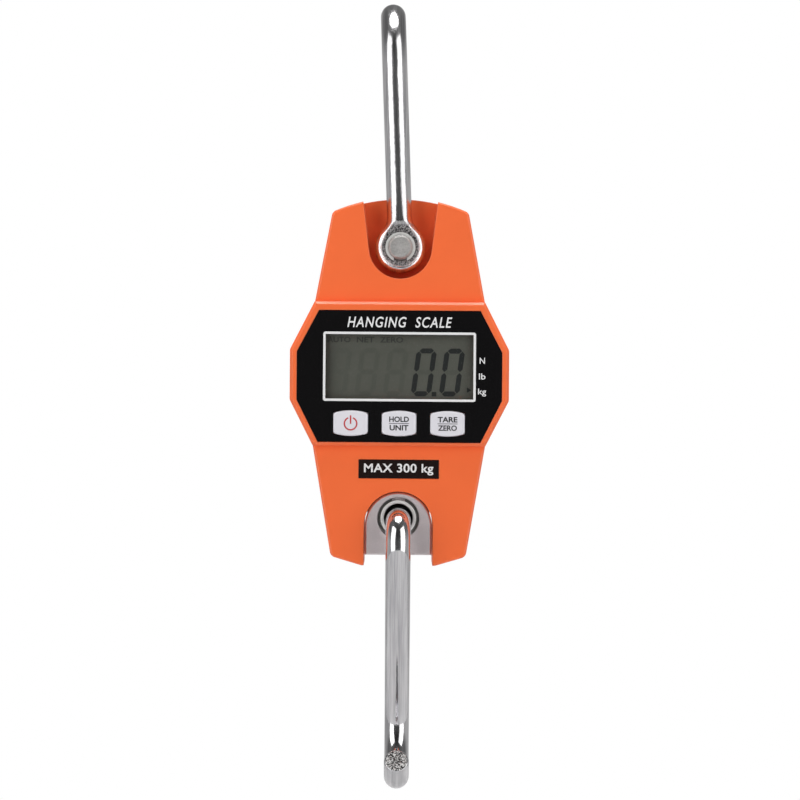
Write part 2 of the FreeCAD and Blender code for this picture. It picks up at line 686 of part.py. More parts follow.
def overlay_outline(gap):
    """The overlay's outline, or its recess's when gap is above nothing."""
    return mirrored([
        (f"upper_waist_half - overlay_top_inset + {gap}", f"-upper_waist_drop - rim_top + {gap}"),
        (f"belly_half - rim_side + {gap}", "-belly_top_drop - overlay_side_drop"),
        (f"belly_half - rim_side + {gap}", "-belly_bottom_drop"),
        (f"lower_waist_half - overlay_bottom_inset + {gap}", f"-lower_waist_drop + rim_bottom - {gap}"),
    ])


def board_outline():
    return mirrored([
        ("upper_waist_half - board_end_half_inset", "-upper_waist_drop - board_end_inset"),
        ("belly_half - board_inset", "-belly_top_drop"),
        ("belly_half - board_inset", "-belly_bottom_drop"),
        ("lower_waist_half - board_end_half_inset", "-lower_waist_drop + board_end_inset"),
    ])


def key_outline(grow, x):
    """A key at x, grown by a gap: straight sides, and a shallow crown along its upper and its lower edge."""
    half, side = f"(key_half_width + {grow})", f"(key_side_half + {grow})"
    radius = f"({half} * {half} + key_crown * key_crown) / (2 * key_crown)"
    left, right = f"{x} - {half}", f"{x} + {half}"
    low, high = f"-key_drop - {side}", f"-key_drop + {side}"
    return [
        arc_to(left, low, x, f"{low} - key_crown", radius=radius),
        (left, high),
        arc_to(right, high, x, f"{high} + key_crown", radius=radius),
        (right, low),
    ]


def rectangle_about(centre_z, half_x, half_z):
    return rectangle(f"-({half_x})", half_x, f"({centre_z}) - ({half_z})", f"({centre_z}) + ({half_z})")


CASE_POSTS = [
    ("upper_screw_half", "upper_screw_rise"),
    ("-upper_screw_half", "upper_screw_rise"),
    ("lower_screw_half", "-lower_screw_drop"),
    ("-lower_screw_half", "-lower_screw_drop"),
]
BOARD_POSTS = [
    ("upper_post_half", "-upper_post_drop"),
    ("-upper_post_half", "-upper_post_drop"),
    ("lower_post_half", "-lower_post_drop"),
    ("-lower_post_half", "-lower_post_drop"),
]
CELL_POSTS = [
    ("cell_screw_half", "-cell_screw_drop"),
    ("-cell_screw_half", "-cell_screw_drop"),
]
KEYS = [("power", "-key_pitch"), ("hold", "0"), ("tare", "key_pitch")]


def circles(centres, radius):
    return [("circle", centre, radius) for centre in centres]


# ---------------------------------------------------------------- hooks

def draw_path(body, name, chain, role, offset="0"):
    """An open chain of lines and arcs on one of the body's planes."""
    path = body.newObject("Sketcher::SketchObject", name)
    path.AttachmentSupport = (plane_of(body, role), [""])
    path.MapMode = "FlatFace"
    bind(path, "AttachmentOffset.Base.z", offset)
    draw_chain(path, chain, closed=False)
    return path


def sweep(body, path, section):
    """Sweeps the section along the path."""
    pipe = body.newObject("PartDesign::AdditivePipe", "bar")
    pipe.Profile = section
    pipe.Spine = path
    pipe.Mode = "Frenet"
    doc.recompute()
    return pipe


def place_of(step):
    """The sketch point of a step in the YZ plane, in space."""
    return Vector(0, number(step[0]), number(step[1]))


def closed_round(*places):
    """A test for the closed edges about one of the places."""
    return lambda e: e.isClosed() and min((e.CenterOfMass - place).Length for place in places) < CLOSE


def make_upper_hook():
    """An eye whose bar bends forward, then back over the load cell into a bowl that opens to the rear."""
    body = new_body("upper_hook")
    bend_y = "(eye_middle - neck_bend_radius)"
    bend_end = (f"{bend_y} + neck_bend_radius * cos(upper_tilt)",
                "neck_straight + neck_bend_radius * sin(upper_tilt)")
    bend_middle = (f"{bend_y} + neck_bend_radius * cos(upper_tilt / 2)",
                   "neck_straight + neck_bend_radius * sin(upper_tilt / 2)")
    shank_y, shank_z = "(seat_y - bowl_line * cos(upper_tilt))", "(upper_bowl_z - bowl_line * sin(upper_tilt))"
    tip_y, tip_z = "(seat_y + bowl_line * cos(upper_open))", "(upper_bowl_z + bowl_line * sin(upper_open))"
    chain = [
        ("eye_middle", "0"),
        ("eye_middle", "neck_straight"),
        arc_to(*bend_end, *bend_middle, centre_u=bend_y),
        (shank_y, shank_z),
        arc_to(tip_y, tip_z, "seat_y", "upper_bowl_z + bowl_line", centre_v="upper_bowl_z"),
        (f"{tip_y} + upper_tip_length * sin(upper_open)", f"{tip_z} - upper_tip_length * cos(upper_open)"),
    ]
    pad(body, "eye", [("circle", ("0", "0"), "eye_radius")], "-eye_front", "eye_rear")
    dress(body, "Fillet", "eye_rim", lambda e: e.isClosed(), "eye_edge")
    path = draw_path(body, "centre_line", chain, "YZ_Plane")
    section = draw(body, "section", [("circle", ("0", "eye_middle"), "rod_radius")], role="XY_Plane")
    sweep(body, path, section)
    dress(body, "Chamfer", "tip", closed_round(place_of(chain[-1])), "tip_chamfer")
    neck = mirrored([("rod_radius", "neck_length"), ("neck_half", "0")])
    pad(body, "neck", [neck], "-eye_front + neck_inset", "eye_rear - neck_inset")
    flat = rectangle("-eye_radius", "eye_radius", "-eye_radius", "neck_straight")
    pocket(body, "front_flat", [flat], f"-eye_front - {BEYOND}", "-eye_front")
    pocket(body, "rear_flat", [flat], "eye_rear", f"eye_rear + {BEYOND}")
    pocket(body, "pin_bore", [("circle", ("0", "0"), "pin_radius + running_gap")],
           f"-eye_front - {BEYOND}", f"eye_rear + {BEYOND}")
    finish(body, "upper_hook")
    body.Placement = Placement(Vector(), Rotation(Vector(0, 1, 0), 0))
    for axis, share in (("x", "0"), ("y", "1"), ("z", "0")):
        bind(body, f"Placement.Rotation.Axis.{axis}", share)
    bind(body, "Placement.Rotation.Angle", "-lean")


def make_lower_hook():
    """A stub through the bush, a tight bend, a shank that leans back and a bowl that opens forward."""
    body = new_body("lower_hook")
    bend_z = "(stub_z - lower_bend_radius)"
    half_turn = "((90 * 1 deg + lower_tilt) / 2)"
    bend_end = ("bend_start - lower_bend_radius * cos(lower_tilt)",
                f"{bend_z} - lower_bend_radius * sin(lower_tilt)")
    bend_middle = (f"bend_start - lower_bend_radius * sin{half_turn}",
                   f"{bend_z} + lower_bend_radius * cos{half_turn}")
    shank_y, shank_z = "(seat_y + bowl_line * cos(lower_tilt))", "(lower_bowl_z + bowl_line * sin(lower_tilt))"
    tip_y, tip_z = "(seat_y - bowl_line * sin(lower_open))", "(lower_bowl_z - bowl_line * cos(lower_open))"
    chain = [
        ("stub_end", "stub_z"),
        ("bend_start", "stub_z"),
        arc_to(*bend_end, *bend_middle, radius="lower_bend_radius"),
        (shank_y, shank_z),
        arc_to(tip_y, tip_z, "seat_y", "lower_bowl_z - bowl_line", centre_v="lower_bowl_z"),
        (f"{tip_y} - lower_tip_length * cos(lower_open)", f"{tip_z} + lower_tip_length * sin(lower_open)"),
    ]
    path = draw_path(body, "centre_line", chain, "YZ_Plane")
    section = draw(body, "section", [("circle", ("0", "stub_z"), "rod_radius")], offset="-stub_end")
    sweep(body, path, section)
    dress(body, "Chamfer", "cut_ends", closed_round(place_of(chain[0]), place_of(chain[-1])), "tip_chamfer")
    ring_groove(body, "stub_z", "rod_radius", "stub_ring_y")
    finish(body, "lower_hook")


def ring_groove(body, centre_z, radius, y_front):
    """A groove for a snap ring round a shaft along Y."""
    centre = ("0", centre_z)
    loops = [("circle", centre, f"{radius} + {BEYOND}"), ("circle", centre, f"{radius} - groove_depth")]
    pocket(body, "ring_groove", loops, f"{y_front} - seat_gap", f"{y_front} + ring_thickness + seat_gap")


def make_snap_ring(label, centre_z, shaft, y_front, opens_up):
    """A flat C ring that sits in a shaft's groove, with its gap at the top or the bottom."""
    body = new_body(label)
    centre, inner = ("0", centre_z), f"({shaft} - groove_depth + running_gap)"
    pad(body, "ring", [("circle", centre, f"{inner} + ring_width"), ("circle", centre, inner)],
        y_front, f"{y_front} + ring_thickness")
    reach = f"({shaft} + 2 * ring_width)"
    low, high = (centre_z, f"{centre_z} + {reach}") if opens_up else (f"{centre_z} - {reach}", centre_z)
    pocket(body, "opening", [rectangle("-ring_opening / 2", "ring_opening / 2", low, high)],
           f"{y_front} - {BEYOND}", f"{y_front} + ring_thickness + {BEYOND}")
    finish(body, label)


def make_hook_pin():
    body = new_body("hook_pin")
    pad(body, "shank", [("circle", ("0", "0"), "pin_radius")], "pin_end", "boss_rear + pin_head_length")
    pad(body, "head", [("circle", ("0", "0"), "pin_head_radius")],
        "boss_rear + seat_gap", "boss_rear + pin_head_length")
    dress(body, "Chamfer", "front_end", lambda e: flat_at_y(e, number("pin_end")), "pin_chamfer")
    ring_groove(body, "0", "pin_radius", "pin_ring_y")
    finish(body, "hook_pin")


def make_hook_spacer():
    """A thrust sleeve that keeps the eye off the pocket's floor and bears on the load cell."""
    body = new_body("hook_spacer")
    centre = ("0", "0")
    loops = [("circle", centre, "pin_head_radius"), ("circle", centre, "pin_radius + running_gap")]
    pad(body, "sleeve", loops, "eye_rear + seat_gap", "-lug_front - seat_gap")
    finish(body, "hook_spacer")


def make_lower_bush():
    """A flanged bush, pressed in from the rear and held in front by a snap ring."""
    body = new_body("lower_bush")
    centre, rear = ("0", "bush_z"), "boss_rear + bush_flange_length"
    pad(body, "barrel", [("circle", centre, "bush_radius")], "bush_face", rear)
    pad(body, "flange", [("circle", centre, "bush_flange_radius")], "boss_rear", rear)
    pocket(body, "bore", [("circle", centre, "bush_bore_radius")],
           f"bush_face - {BEYOND}", f"{rear} + {BEYOND}")
    bore, face = number("2 * bush_bore_radius"), number("bush_face")
    dress(body, "Fillet", "mouth",
          lambda e: flat_at_y(e, face) and near(e.BoundBox.XLength, bore, CLOSE), "bush_mouth")
    ring_groove(body, "bush_z", "bush_radius", "bush_groove")
    finish(body, "lower_bush")


def make_hook_washer():
    body = new_body("hook_washer")
    centre = ("0", "stub_z")
    loops = [("circle", centre, "washer_radius"), ("circle", centre, "rod_radius + running_gap")]
    pad(body, "washer", loops, "washer_y", "washer_y + washer_thickness")
    finish(body, "hook_washer")


# ---------------------------------------------------------------- shells

def outwards(sign, depth):
    """The (low, high) pair from the parting plane outwards; sign is -1 for the front, 1 for the rear."""
    return (f"-({depth})", "0") if sign < 0 else ("0", depth)


def make_shell(body, sign):
    """One hollow shell, with its panels' rims rounded and its display zone bevelled."""
    panel_y, zone_y, belly = sign * number("panel_depth"), sign * number("zone_depth"), number("belly_half")
    top, bottom = CLOSE - number("upper_waist_drop"), -CLOSE - number("lower_waist_drop")
    pad(body, "panels", [case_outline()], *outwards(sign, "panel_depth"))
    dress(body, "Fillet", "panel_corners",
          lambda e: along_y(e) and not bottom <= ends(e)[0].z <= top, "corner_radius")
    dress(body, "Fillet", "panel_rims",
          lambda e: flat_at_y(e, panel_y) and not bottom <= e.BoundBox.Center.z <= top, "panel_edge")
    pad(body, "display_zone", [zone_outline()], *outwards(sign, "zone_depth"))
    dress(body, "Fillet", "belly_corners",
          lambda e: along_y(e) and near(abs(ends(e)[0].x), belly), "corner_radius")
    dress(body, "Chamfer", "zone_bevel", lambda e: flat_at_y(e, zone_y), "zone_edge")
    pocket(body, "hollow", [inner_outline()], *outwards(sign, "panel_inner"))
    pocket(body, "zone_hollow", [inner_zone_outline()], *outwards(sign, "zone_inner"))


def make_notch(body, sign):
    """The opening that the load cell's lower boss fills, with a rib round it."""
    pad(body, "notch_rib", [arch("(notch_half + rib_wall)", "arch_z", "-lip_drop + bite")],
        *outwards(sign, "panel_inner + bite"))
    pocket(body, "notch", [arch("notch_half", "arch_z", f"-lip_drop - {BEYOND}")],
           *outwards(sign, f"panel_depth + {BEYOND}"))
    opening = rectangle("-cell_half - cell_gap", "cell_half + cell_gap",
                        "arch_z", "arch_z + notch_half + 2 * rib_wall")
    depth = "cell_front + cell_gap" if sign < 0 else "cell_rear + cell_gap"
    pocket(body, "cell_passage", [opening], *outwards(sign, depth))


def make_front_case():
    body = new_body("front_case")
    make_shell(body, -1)
    outer_cup = cup("(pocket_radius + rib_wall)", "crown_rise - wall - bite", "crown_rise - bite")
    pad(body, "pocket_block", [outer_cup], "-panel_inner - bite", "floor_back")
    make_notch(body, -1)
    pocket(body, "eye_pocket", [cup("pocket_radius", f"crown_rise + {BEYOND}")],
           f"-panel_depth - {BEYOND}", "-floor_front")
    pad(body, "case_posts", circles(CASE_POSTS, "case_post_radius"), "-panel_inner - bite", "0")
    pocket(body, "case_post_holes", circles(CASE_POSTS, "case_screw_radius + running_gap"),
           "-case_screw_grip - screw_gap", BEYOND)
    pad(body, "cell_posts", circles(CELL_POSTS, "cell_screw_head_radius"),
        "-panel_inner - bite", "-cell_front - seat_gap")
    pocket(body, "cell_post_holes", circles(CELL_POSTS, "cell_screw_radius + running_gap"),
           "-cell_front - cell_screw_grip - screw_gap", "-cell_front")
    pad(body, "board_posts", circles(BOARD_POSTS, "board_post_radius"), "-zone_inner - bite", "-board_front")
    pocket(body, "board_post_holes", circles(BOARD_POSTS, "board_screw_radius + running_gap"),
           "-board_front - board_screw_grip - screw_gap", f"-board_front + {BEYOND}")
    pocket(body, "spacer_hole", [("circle", ("0", "0"), "pin_head_radius + screw_gap")],
           f"-floor_front - {BEYOND}", f"floor_back + {BEYOND}")
    pocket(body, "overlay_seat", [overlay_outline("overlay_gap")], f"-zone_depth - {BEYOND}", "film_back")
    window = rectangle_about("-window_drop", "window_half_width + window_flange + overlay_gap",
                             "window_half_height + window_flange + overlay_gap")
    pocket(body, "window_opening", [window], f"-zone_depth - {BEYOND}", f"-zone_inner + {BEYOND}")
    for name, x in KEYS:
        pocket(body, f"{name}_opening", [key_outline("key_gap", x)],
               f"-zone_depth - {BEYOND}", f"-zone_inner + {BEYOND}")
    label = rectangle_about("-label_drop", "label_half_width + overlay_gap", "label_half_height + overlay_gap")
    pocket(body, "label_seat", [label], f"-panel_depth - {BEYOND}", "label_recess - panel_depth")
    finish(body, "front_case")


def make_rear_case():
    body = new_body("rear_case")
    make_shell(body, 1)
    bay = rectangle_about("-bay_drop", "bay_half_x + bay_wall", "bay_half_z + bay_wall")
    pad(body, "bay_block", [bay], "bay_floor - bay_wall", "zone_depth - bite")
    shelf = rectangle("-channel_half - bite", "channel_half + bite", "-lower_waist_drop + bite",
                      "-bay_drop - bay_half_z")
    pad(body, "door_shelf", [shelf], "door_inner - wall", "zone_depth - bite")
    pocket(body, "battery_bay", [rectangle_about("-bay_drop", "bay_half_x", "bay_half_z")],
           "bay_floor", f"zone_depth + {BEYOND}")
    door_top, door_exit = "-door_top_drop + door_gap", "-lower_waist_drop - wall"
    pocket(body, "tongue_channel", [rectangle("-channel_half", "channel_half", door_exit, door_top)],
           "door_inner - door_gap", "door_inner + door_tongue + door_gap")
    opening = rectangle("-door_half - door_gap", "door_half + door_gap", door_exit, door_top)
    pocket(body, "door_opening", [opening], "door_inner - door_gap", f"zone_depth + {BEYOND}")
    make_notch(body, 1)
    pad(body, "case_posts", circles(CASE_POSTS, "rear_post_radius"), "seat_gap", "panel_inner + bite")
    pocket(body, "screw_holes", circles(CASE_POSTS, "case_screw_radius + screw_gap"),
           f"-{BEYOND}", f"zone_depth + {BEYOND}")
    pocket(body, "screw_wells", circles(CASE_POSTS, "case_screw_head_radius + screw_gap"),
           "screw_seat", f"zone_depth + {BEYOND}")
    finish(body, "rear_case")


def make_battery_door():
    """A plate that slides down out of the rear shell on two tongues, with grip grooves near its lower end."""
    body = new_body("battery_door")
    top, bottom, face = "-door_top_drop", "-lower_waist_drop + zone_edge", number("zone_depth")
    pad(body, "plate", [rectangle("-door_half", "door_half", bottom, top)], "door_inner", "zone_depth")
    dress(body, "Fillet", "outer_edges", lambda e: flat_at_y(e, face), "door_edge")
    pad(body, "tongues", [rectangle("-door_half - door_tongue", "door_half + door_tongue", bottom, top)],
        "door_inner", "door_inner + door_tongue")
    groove = rectangle_about("-door_grip_drop", "door_grip_half", "door_grip_width / 2")
    first = pocket(body, "grip_groove", [groove], "zone_depth - door_grip_depth", f"zone_depth + {BEYOND}")
    row = body.newObject("PartDesign::LinearPattern", "grip_grooves")
    row.Originals = [first]
    row.Direction = (first.Profile[0], ["V_Axis"])
    row.Reversed = True
    bind(row, "Length", "door_grip_pitch * (door_grip_count - 1)")
    bind(row, "Occurrences", "door_grip_count")
    body.Tip = row
    finish(body, "battery_door")


def cross(x, z, reach, width):
    """The outline of a cross recess."""
    return [
        (f"{x} - {reach}", f"{z} - {width}"), (f"{x} - {width}", f"{z} - {width}"),
        (f"{x} - {width}", f"{z} - {reach}"), (f"{x} + {width}", f"{z} - {reach}"),
        (f"{x} + {width}", f"{z} - {width}"), (f"{x} + {reach}", f"{z} - {width}"),
        (f"{x} + {reach}", f"{z} + {width}"), (f"{x} + {width}", f"{z} + {width}"),
        (f"{x} + {width}", f"{z} + {reach}"), (f"{x} - {width}", f"{z} + {reach}"),
        (f"{x} - {width}", f"{z} + {width}"), (f"{x} - {reach}", f"{z} + {width}"),
    ]


def make_screws(name, centres, seat_y, tip_y):
    """Pan head screws along Y whose heads lie behind seat_y, sized by the dimensions with their name."""
    body = new_body(f"{name}s")
    head_radius, head_rear = f"{name}_head_radius", f"{seat_y} + {name}_head_length"
    pad(body, "shanks", circles(centres, f"{name}_radius"), tip_y, seat_y)
    pad(body, "heads", circles(centres, head_radius), seat_y, head_rear)
    crosses = [cross(x, z, f"cross_reach * {head_radius}", f"cross_arm * {head_radius}") for x, z in centres]
    pocket(body, "cross_recesses", crosses, f"{seat_y} + {name}_head_length / 2", f"{head_rear} + {BEYOND}")
    finish(body, f"{name}s")


# ---------------------------------------------------------------- load cell

def make_load_cell():
    """One aluminium block: an upper lug for the pin, a slotted sensing web, and a lower boss for the bush."""
    body = new_body("load_cell")
    front, rear = f"-boss_front - {BEYOND}", f"boss_rear + {BEYOND}"
    pad(body, "middle", [rectangle("-cell_half", "cell_half", "arch_z", "cell_top")],
        "-cell_front", "cell_rear")
    lug = [("cell_half", "cell_top - lug_overlap"), ("cell_half", "0"),
           arc_to("-cell_half", "0", "0", "cell_half", centre_v="0"), ("-cell_half", "cell_top - lug_overlap")]
    pad(body, "lug", [lug], "-lug_front", "boss_rear")
    pad(body, "boss", [arch("(notch_half - boss_gap)", "arch_z", "-boss_drop")], "-boss_front", "boss_rear")
    face = -number("boss_front")
    dress(body, "Chamfer", "boss_bevel", lambda e: flat_at_y(e, face), "boss_edge")
    pocket(body, "pin_bore", [("circle", ("0", "0"), "pin_radius + running_gap")], front, rear)
    pocket(body, "bush_bore", [("circle", ("0", "bush_z"), "bush_radius + running_gap")], front, rear)
    pocket(body, "ring_recess", [("circle", ("0", "bush_z"), "ring_recess_radius")],
           front, "-boss_front + ring_recess_depth")
    slots = [
        rectangle(f"-cell_half - {BEYOND}", "slot_depth - cell_half",
                  "-upper_slot_drop - slot_width / 2", "-upper_slot_drop + slot_width / 2"),
        rectangle("cell_half - slot_depth", f"cell_half + {BEYOND}",
                  "-lower_slot_drop - slot_width / 2", "-lower_slot_drop + slot_width / 2"),
    ]
    pocket(body, "slots", slots, front, rear)
    holes = circles([("0", "-web_hole_drop"), ("0", "web_low")], "web_hole_radius")
    pocket(body, "web_holes", holes, front, rear)
    web_slot = rectangle("-slot_width", "slot_width", "web_low", "-web_hole_drop")
    pocket(body, "web_slot", [web_slot], front, rear)
    pocket(body, "screw_holes", circles(CELL_POSTS, "cell_screw_radius + screw_gap / 2"), front, rear)
    finish(body, "load_cell")


def make_strain_gauges():
    """Four foil gauges on the web's outer sides, beside its two holes."""
    parts = []
    y = ("seat_y - gauge_width / 2", "seat_y + gauge_width / 2")
    sides = [("left", ("-cell_half - gauge_thickness", "-cell_half")),
             ("right", ("cell_half", "cell_half + gauge_thickness"))]
    for side, x in sides:
        for level, middle in (("upper", "-web_hole_drop"), ("lower", "web_low")):
            z = (f"{middle} - gauge_length / 2", f"{middle} + gauge_length / 2")
            parts.append(block(f"{side}_{level}_gauge", x, y, z))
    group("strain_gauges", parts)


# ---------------------------------------------------------------- front stack

def make_display_overlay():
    """The printed film on the display zone, open at the window and the keys."""
    body = new_body("display_overlay")
    window = rectangle_about("-window_drop",
                             "window_half_width + overlay_gap", "window_half_height + overlay_gap")
    pad(body, "film", [overlay_outline("0"), window], "film_front", "film_back")
    for name, x in KEYS:
        pocket(body, f"{name}_opening", [key_outline("key_gap", x)],
               f"film_front - {BEYOND}", f"film_back + {BEYOND}")
    finish(body, "display_overlay")


def make_display_window():
    """A clear pane whose raised middle fills the overlay's opening and whose flange hides behind it."""
    body = new_body("display_window")
    rear = "film_front + window_thickness"
    pane = rectangle_about("-window_drop", "window_half_width", "window_half_height")
    flange = rectangle_about("-window_drop",
                             "window_half_width + window_flange", "window_half_height + window_flange")
    pad(body, "pane", [pane], "film_front", rear)
    pad(body, "flange", [flange], "film_back + seat_gap", rear)
    finish(body, "display_window")


def make_display_module():
    """The glass in its frame, the backlight behind it and the strips that join it to the board."""
    glass = block("glass", ("-glass_half_width", "glass_half_width"), ("glass_front", "glass_rear"),
                  ("-window_drop - glass_half_height", "-window_drop + glass_half_height"))
    group("display_glass", [glass])
    half_x, half_z = "glass_half_width + glass_gap", "glass_half_height + glass_gap"
    holder = new_body("display_holder")
    loops = [rectangle_about("-window_drop", f"{half_x} + holder_wall", f"{half_z} + holder_wall"),
             rectangle_about("-window_drop", half_x, half_z)]
    pad(holder, "frame", loops, "glass_front", "-board_front - seat_gap")
    finish(holder, "display_holder")
    light = block("light", ("-backlight_half_width", "backlight_half_width"),
                  ("glass_rear + seat_gap", "glass_rear + seat_gap + backlight_thickness"),
                  ("-window_drop - backlight_half_height", "-window_drop + backlight_half_height"))
    group("backlight", [light])
    x = ("-backlight_half_width", "backlight_half_width")
    y = ("glass_rear + seat_gap", "-board_front - seat_gap")
    outer = "glass_half_height - glass_gap"
    high, low = f"-window_drop + {outer}", f"-window_drop - ({outer})"
    upper = block("upper_strip", x, y, (f"{high} - strip_width", high))
    lower = block("lower_strip", x, y, (low, f"{low} + strip_width"))
    group("contact_strips", [upper, lower])


def on_board(name, x, z, half_x, half_z, height):
    """A block that stands on the board's rear face."""
    return block(name, (f"{x} - {half_x}", f"{x} + {half_x}"), ("board_rear", f"board_rear + {height}"),
                 (f"{z} - {half_z}", f"{z} + {half_z}"))


def make_main_board():
    body = new_body("main_board")
    pad(body, "board", [board_outline()], "-board_front + seat_gap", "board_rear")
    pocket(body, "screw_holes", circles(BOARD_POSTS, "board_screw_radius + screw_gap / 2"),
           f"-board_front - {BEYOND}", f"board_rear + {BEYOND}")
    finish(body, "main_board")
    controller = on_board("controller", "chip_offset", "-chip_drop", "chip_half", "chip_half", "chip_height")
    amplifier = on_board("amplifier", "-chip_offset", "-chip_drop",
                         "amplifier_half_length", "amplifier_half_width", "chip_height")
    group("controller_chip", [controller])
    group("amplifier_chip", [amplifier])
    small = []
    for row in (0, 1):
        for column in (-1, 0, 1):
            x = f"-chip_offset + {column} * component_pitch"
            z = f"-component_row_drop - {row} * component_row_pitch"
            small.append(on_board(f"component_{row}_{column + 1}", x, z,
                                  "component_half_length", "component_half_width", "component_height"))
    crystal_x = ("chip_offset - crystal_half_length", "chip_offset + crystal_half_length")
    crystal = across("crystal", "crystal_radius", crystal_x, "board_rear + crystal_radius", "-crystal_drop")
    group("board_components", small + [crystal])


def make_keys():
    """Three keys, each over a tact switch whose plunger it pushes."""
    front, flange_front = number("-zone_depth - key_proud"), "-zone_inner + seat_gap"
    plunger_y = ("key_rear + seat_gap", "key_rear + seat_gap + plunger_length")
    switches = []
    for name, x in KEYS:
        body = new_body(f"{name}_key")
        pad(body, "cap", [key_outline("0", x)], "-zone_depth - key_proud", "key_rear")
        dress(body, "Fillet", "corners", along_y, "key_corner")
        dress(body, "Fillet", "front_edge", lambda e: flat_at_y(e, front), "key_edge")
        pad(body, "flange", [key_outline("key_flange", x)], flange_front, "key_rear")
        finish(body, f"{name}_key")
        group(f"{name}_plunger", [rod(f"{name}_pin", "plunger_radius", x, plunger_y, "-key_drop")])
        base = block(f"{name}_switch_block", (f"{x} - switch_half", f"{x} + switch_half"),
                     ("-board_front - switch_height", "-board_front"),
                     ("-key_drop - switch_half", "-key_drop + switch_half"))
        hole_y = (f"-board_front - switch_height - {BEYOND}", f"{plunger_y[1]} + key_travel + plunger_gap")
        hole = rod(f"{name}_switch_hole", "plunger_radius + plunger_gap", x, hole_y, "-key_drop")
        switches.append(cut(f"{name}_switch", base, hole))
    group("tact_switches", switches)


def make_capacity_label():
    plate = block("label_plate", ("-label_half_width", "label_half_width"),
                  ("label_recess - label_thickness - panel_depth", "label_recess - panel_depth"),
                  ("-label_drop - label_half_height", "-label_drop + label_half_height"))
    group("capacity_label", [plate])


# ---------------------------------------------------------------- battery bay

# each battery's name, its height and the end that its nub points to
BATTERIES = [
    ("upper", "-bay_drop + battery_pitch", 1),
    ("middle", "-bay_drop", -1),
    ("lower", "-bay_drop - battery_pitch", 1),
]


def make_batteries():
    for name, z, end in BATTERIES:
        outer = f"{end} * (bay_half_x - contact_thickness)"
        inner, shoulder = f"{outer} - {end} * battery_length", f"{outer} - {end} * nub_length"
        ends_x = (inner, shoulder) if end > 0 else (shoulder, inner)
        nub_x = (shoulder, outer) if end > 0 else (outer, shoulder)
        can = across(f"{name}_can", "battery_radius", ends_x, "battery_y", z)
        nub = across(f"{name}_nub", "nub_radius", nub_x, "battery_y", z)
        group(f"{name}_battery", [fuse(f"{name}_cell", [can, nub])])


def make_spring(name, z, end):
    """A coil between the contact at a battery's flat end and the battery."""
    room = "(spring_length - 2 * spring_wire - 2 * seat_gap)"
    helix = doc.addObject("Part::Helix", f"{name}_helix")
    helix.SegmentLength = SPRING_SEGMENT
    bind(helix, "Height", room)
    bind(helix, "Pitch", f"{room} / spring_turns")
    bind(helix, "Radius", "spring_radius")
    wire = doc.addObject("Part::Circle", f"{name}_wire")
    wire.Placement = Placement(Vector(), Rotation(Vector(1, 0, 0), 90))
    bind(wire, "Radius", "spring_wire")
    bind(wire, "Placement.Base.x", "spring_radius")
    doc.recompute()
    coil = doc.addObject("Part::Sweep", f"{name}_coil")
    coil.Sections = [wire]
    coil.Spine = (helix, [f"Edge{index}" for index in range(1, len(helix.Shape.Edges) + 1)])
    coil.Solid = True
    coil.Frenet = True
    coil.Placement = Placement(Vector(), Rotation(Vector(0, 1, 0), 90 * end))
    bind(coil, "Placement.Base.x", f"{-end} * (bay_half_x - contact_thickness - spring_wire - seat_gap)")
    bind(coil, "Placement.Base.y", "battery_y")
    bind(coil, "Placement.Base.z", z)
    return coil


def make_battery_contacts():
    """A plate behind every battery's two ends, and a spring at its flat end."""
    plates = []
    sides = [("left", ("-bay_half_x", "-bay_half_x + contact_thickness")),
             ("right", ("bay_half_x - contact_thickness", "bay_half_x"))]
    y = ("battery_y - contact_half", "battery_y + contact_half")
    for name, middle, end in BATTERIES:
        z = (f"{middle} - contact_half", f"{middle} + contact_half")
        plates += [block(f"{name}_{side}_plate", x, y, z) for side, x in sides]
    group("contact_plates", plates)
    group("battery_springs", [make_spring(*battery) for battery in BATTERIES])


# ---------------------------------------------------------------- leads

def make_battery_lead(label, x):
    """A lead from the board back to the bay's floor, with a sideways step of two equal bends."""
    body = new_body(label)
    start, end = "board_rear + seat_gap", "bay_floor - bay_wall - seat_gap"
    middle = f"({start} + {end}) / 2"
    turn = "(acos(1 - lead_step / (2 * lead_bend)))"
    rise = f"lead_bend * sin{turn}"
    side, along = f"lead_bend * (1 - cos({turn} / 2))", f"lead_bend * sin({turn} / 2)"
    chain = [
        (x, start),
        (x, f"{middle} - {rise}"),
        arc_to(f"{x} + lead_step / 2", middle,
               f"{x} + {side}", f"{middle} - {rise} + {along}", radius="lead_bend"),
        arc_to(f"{x} + lead_step", f"{middle} + {rise}",
               f"{x} + lead_step - {side}", f"{middle} + {rise} - {along}", radius="lead_bend"),
        (f"{x} + lead_step", end),
    ]
    path = draw_path(body, "route", chain, "XY_Plane", offset="-lead_drop")
    section = draw(body, "section", [("circle", (x, "-lead_drop"), "lead_radius")], offset=f"-({start})")
    sweep(body, path, section)
    finish(body, label)


def make_cell_lead():
    """A lead from the load cell's side out and forward to the board, with one bend."""
    body = new_body("cell_lead")
    run_x, slant = "cell_half + cell_lead_reach", "lead_bend * (1 - cos(90 * 1 deg / 2))"
    chain = [
        ("cell_half + seat_gap", "seat_y"),
        (f"{run_x} - lead_bend", "seat_y"),
        arc_to(run_x, "seat_y - lead_bend", f"{run_x} - {slant}", f"seat_y - {slant}", radius="lead_bend"),
        (run_x, "board_rear + seat_gap"),
    ]
    path = draw_path(body, "route", chain, "XY_Plane", offset="-cell_lead_drop")
    section = draw(body, "section", [("circle", ("seat_y", "-cell_lead_drop"), "lead_radius")],
                   role="YZ_Plane", offset="cell_half + seat_gap")
    sweep(body, path, section)
    finish(body, "cell_lead")


# ---------------------------------------------------------------- build and write

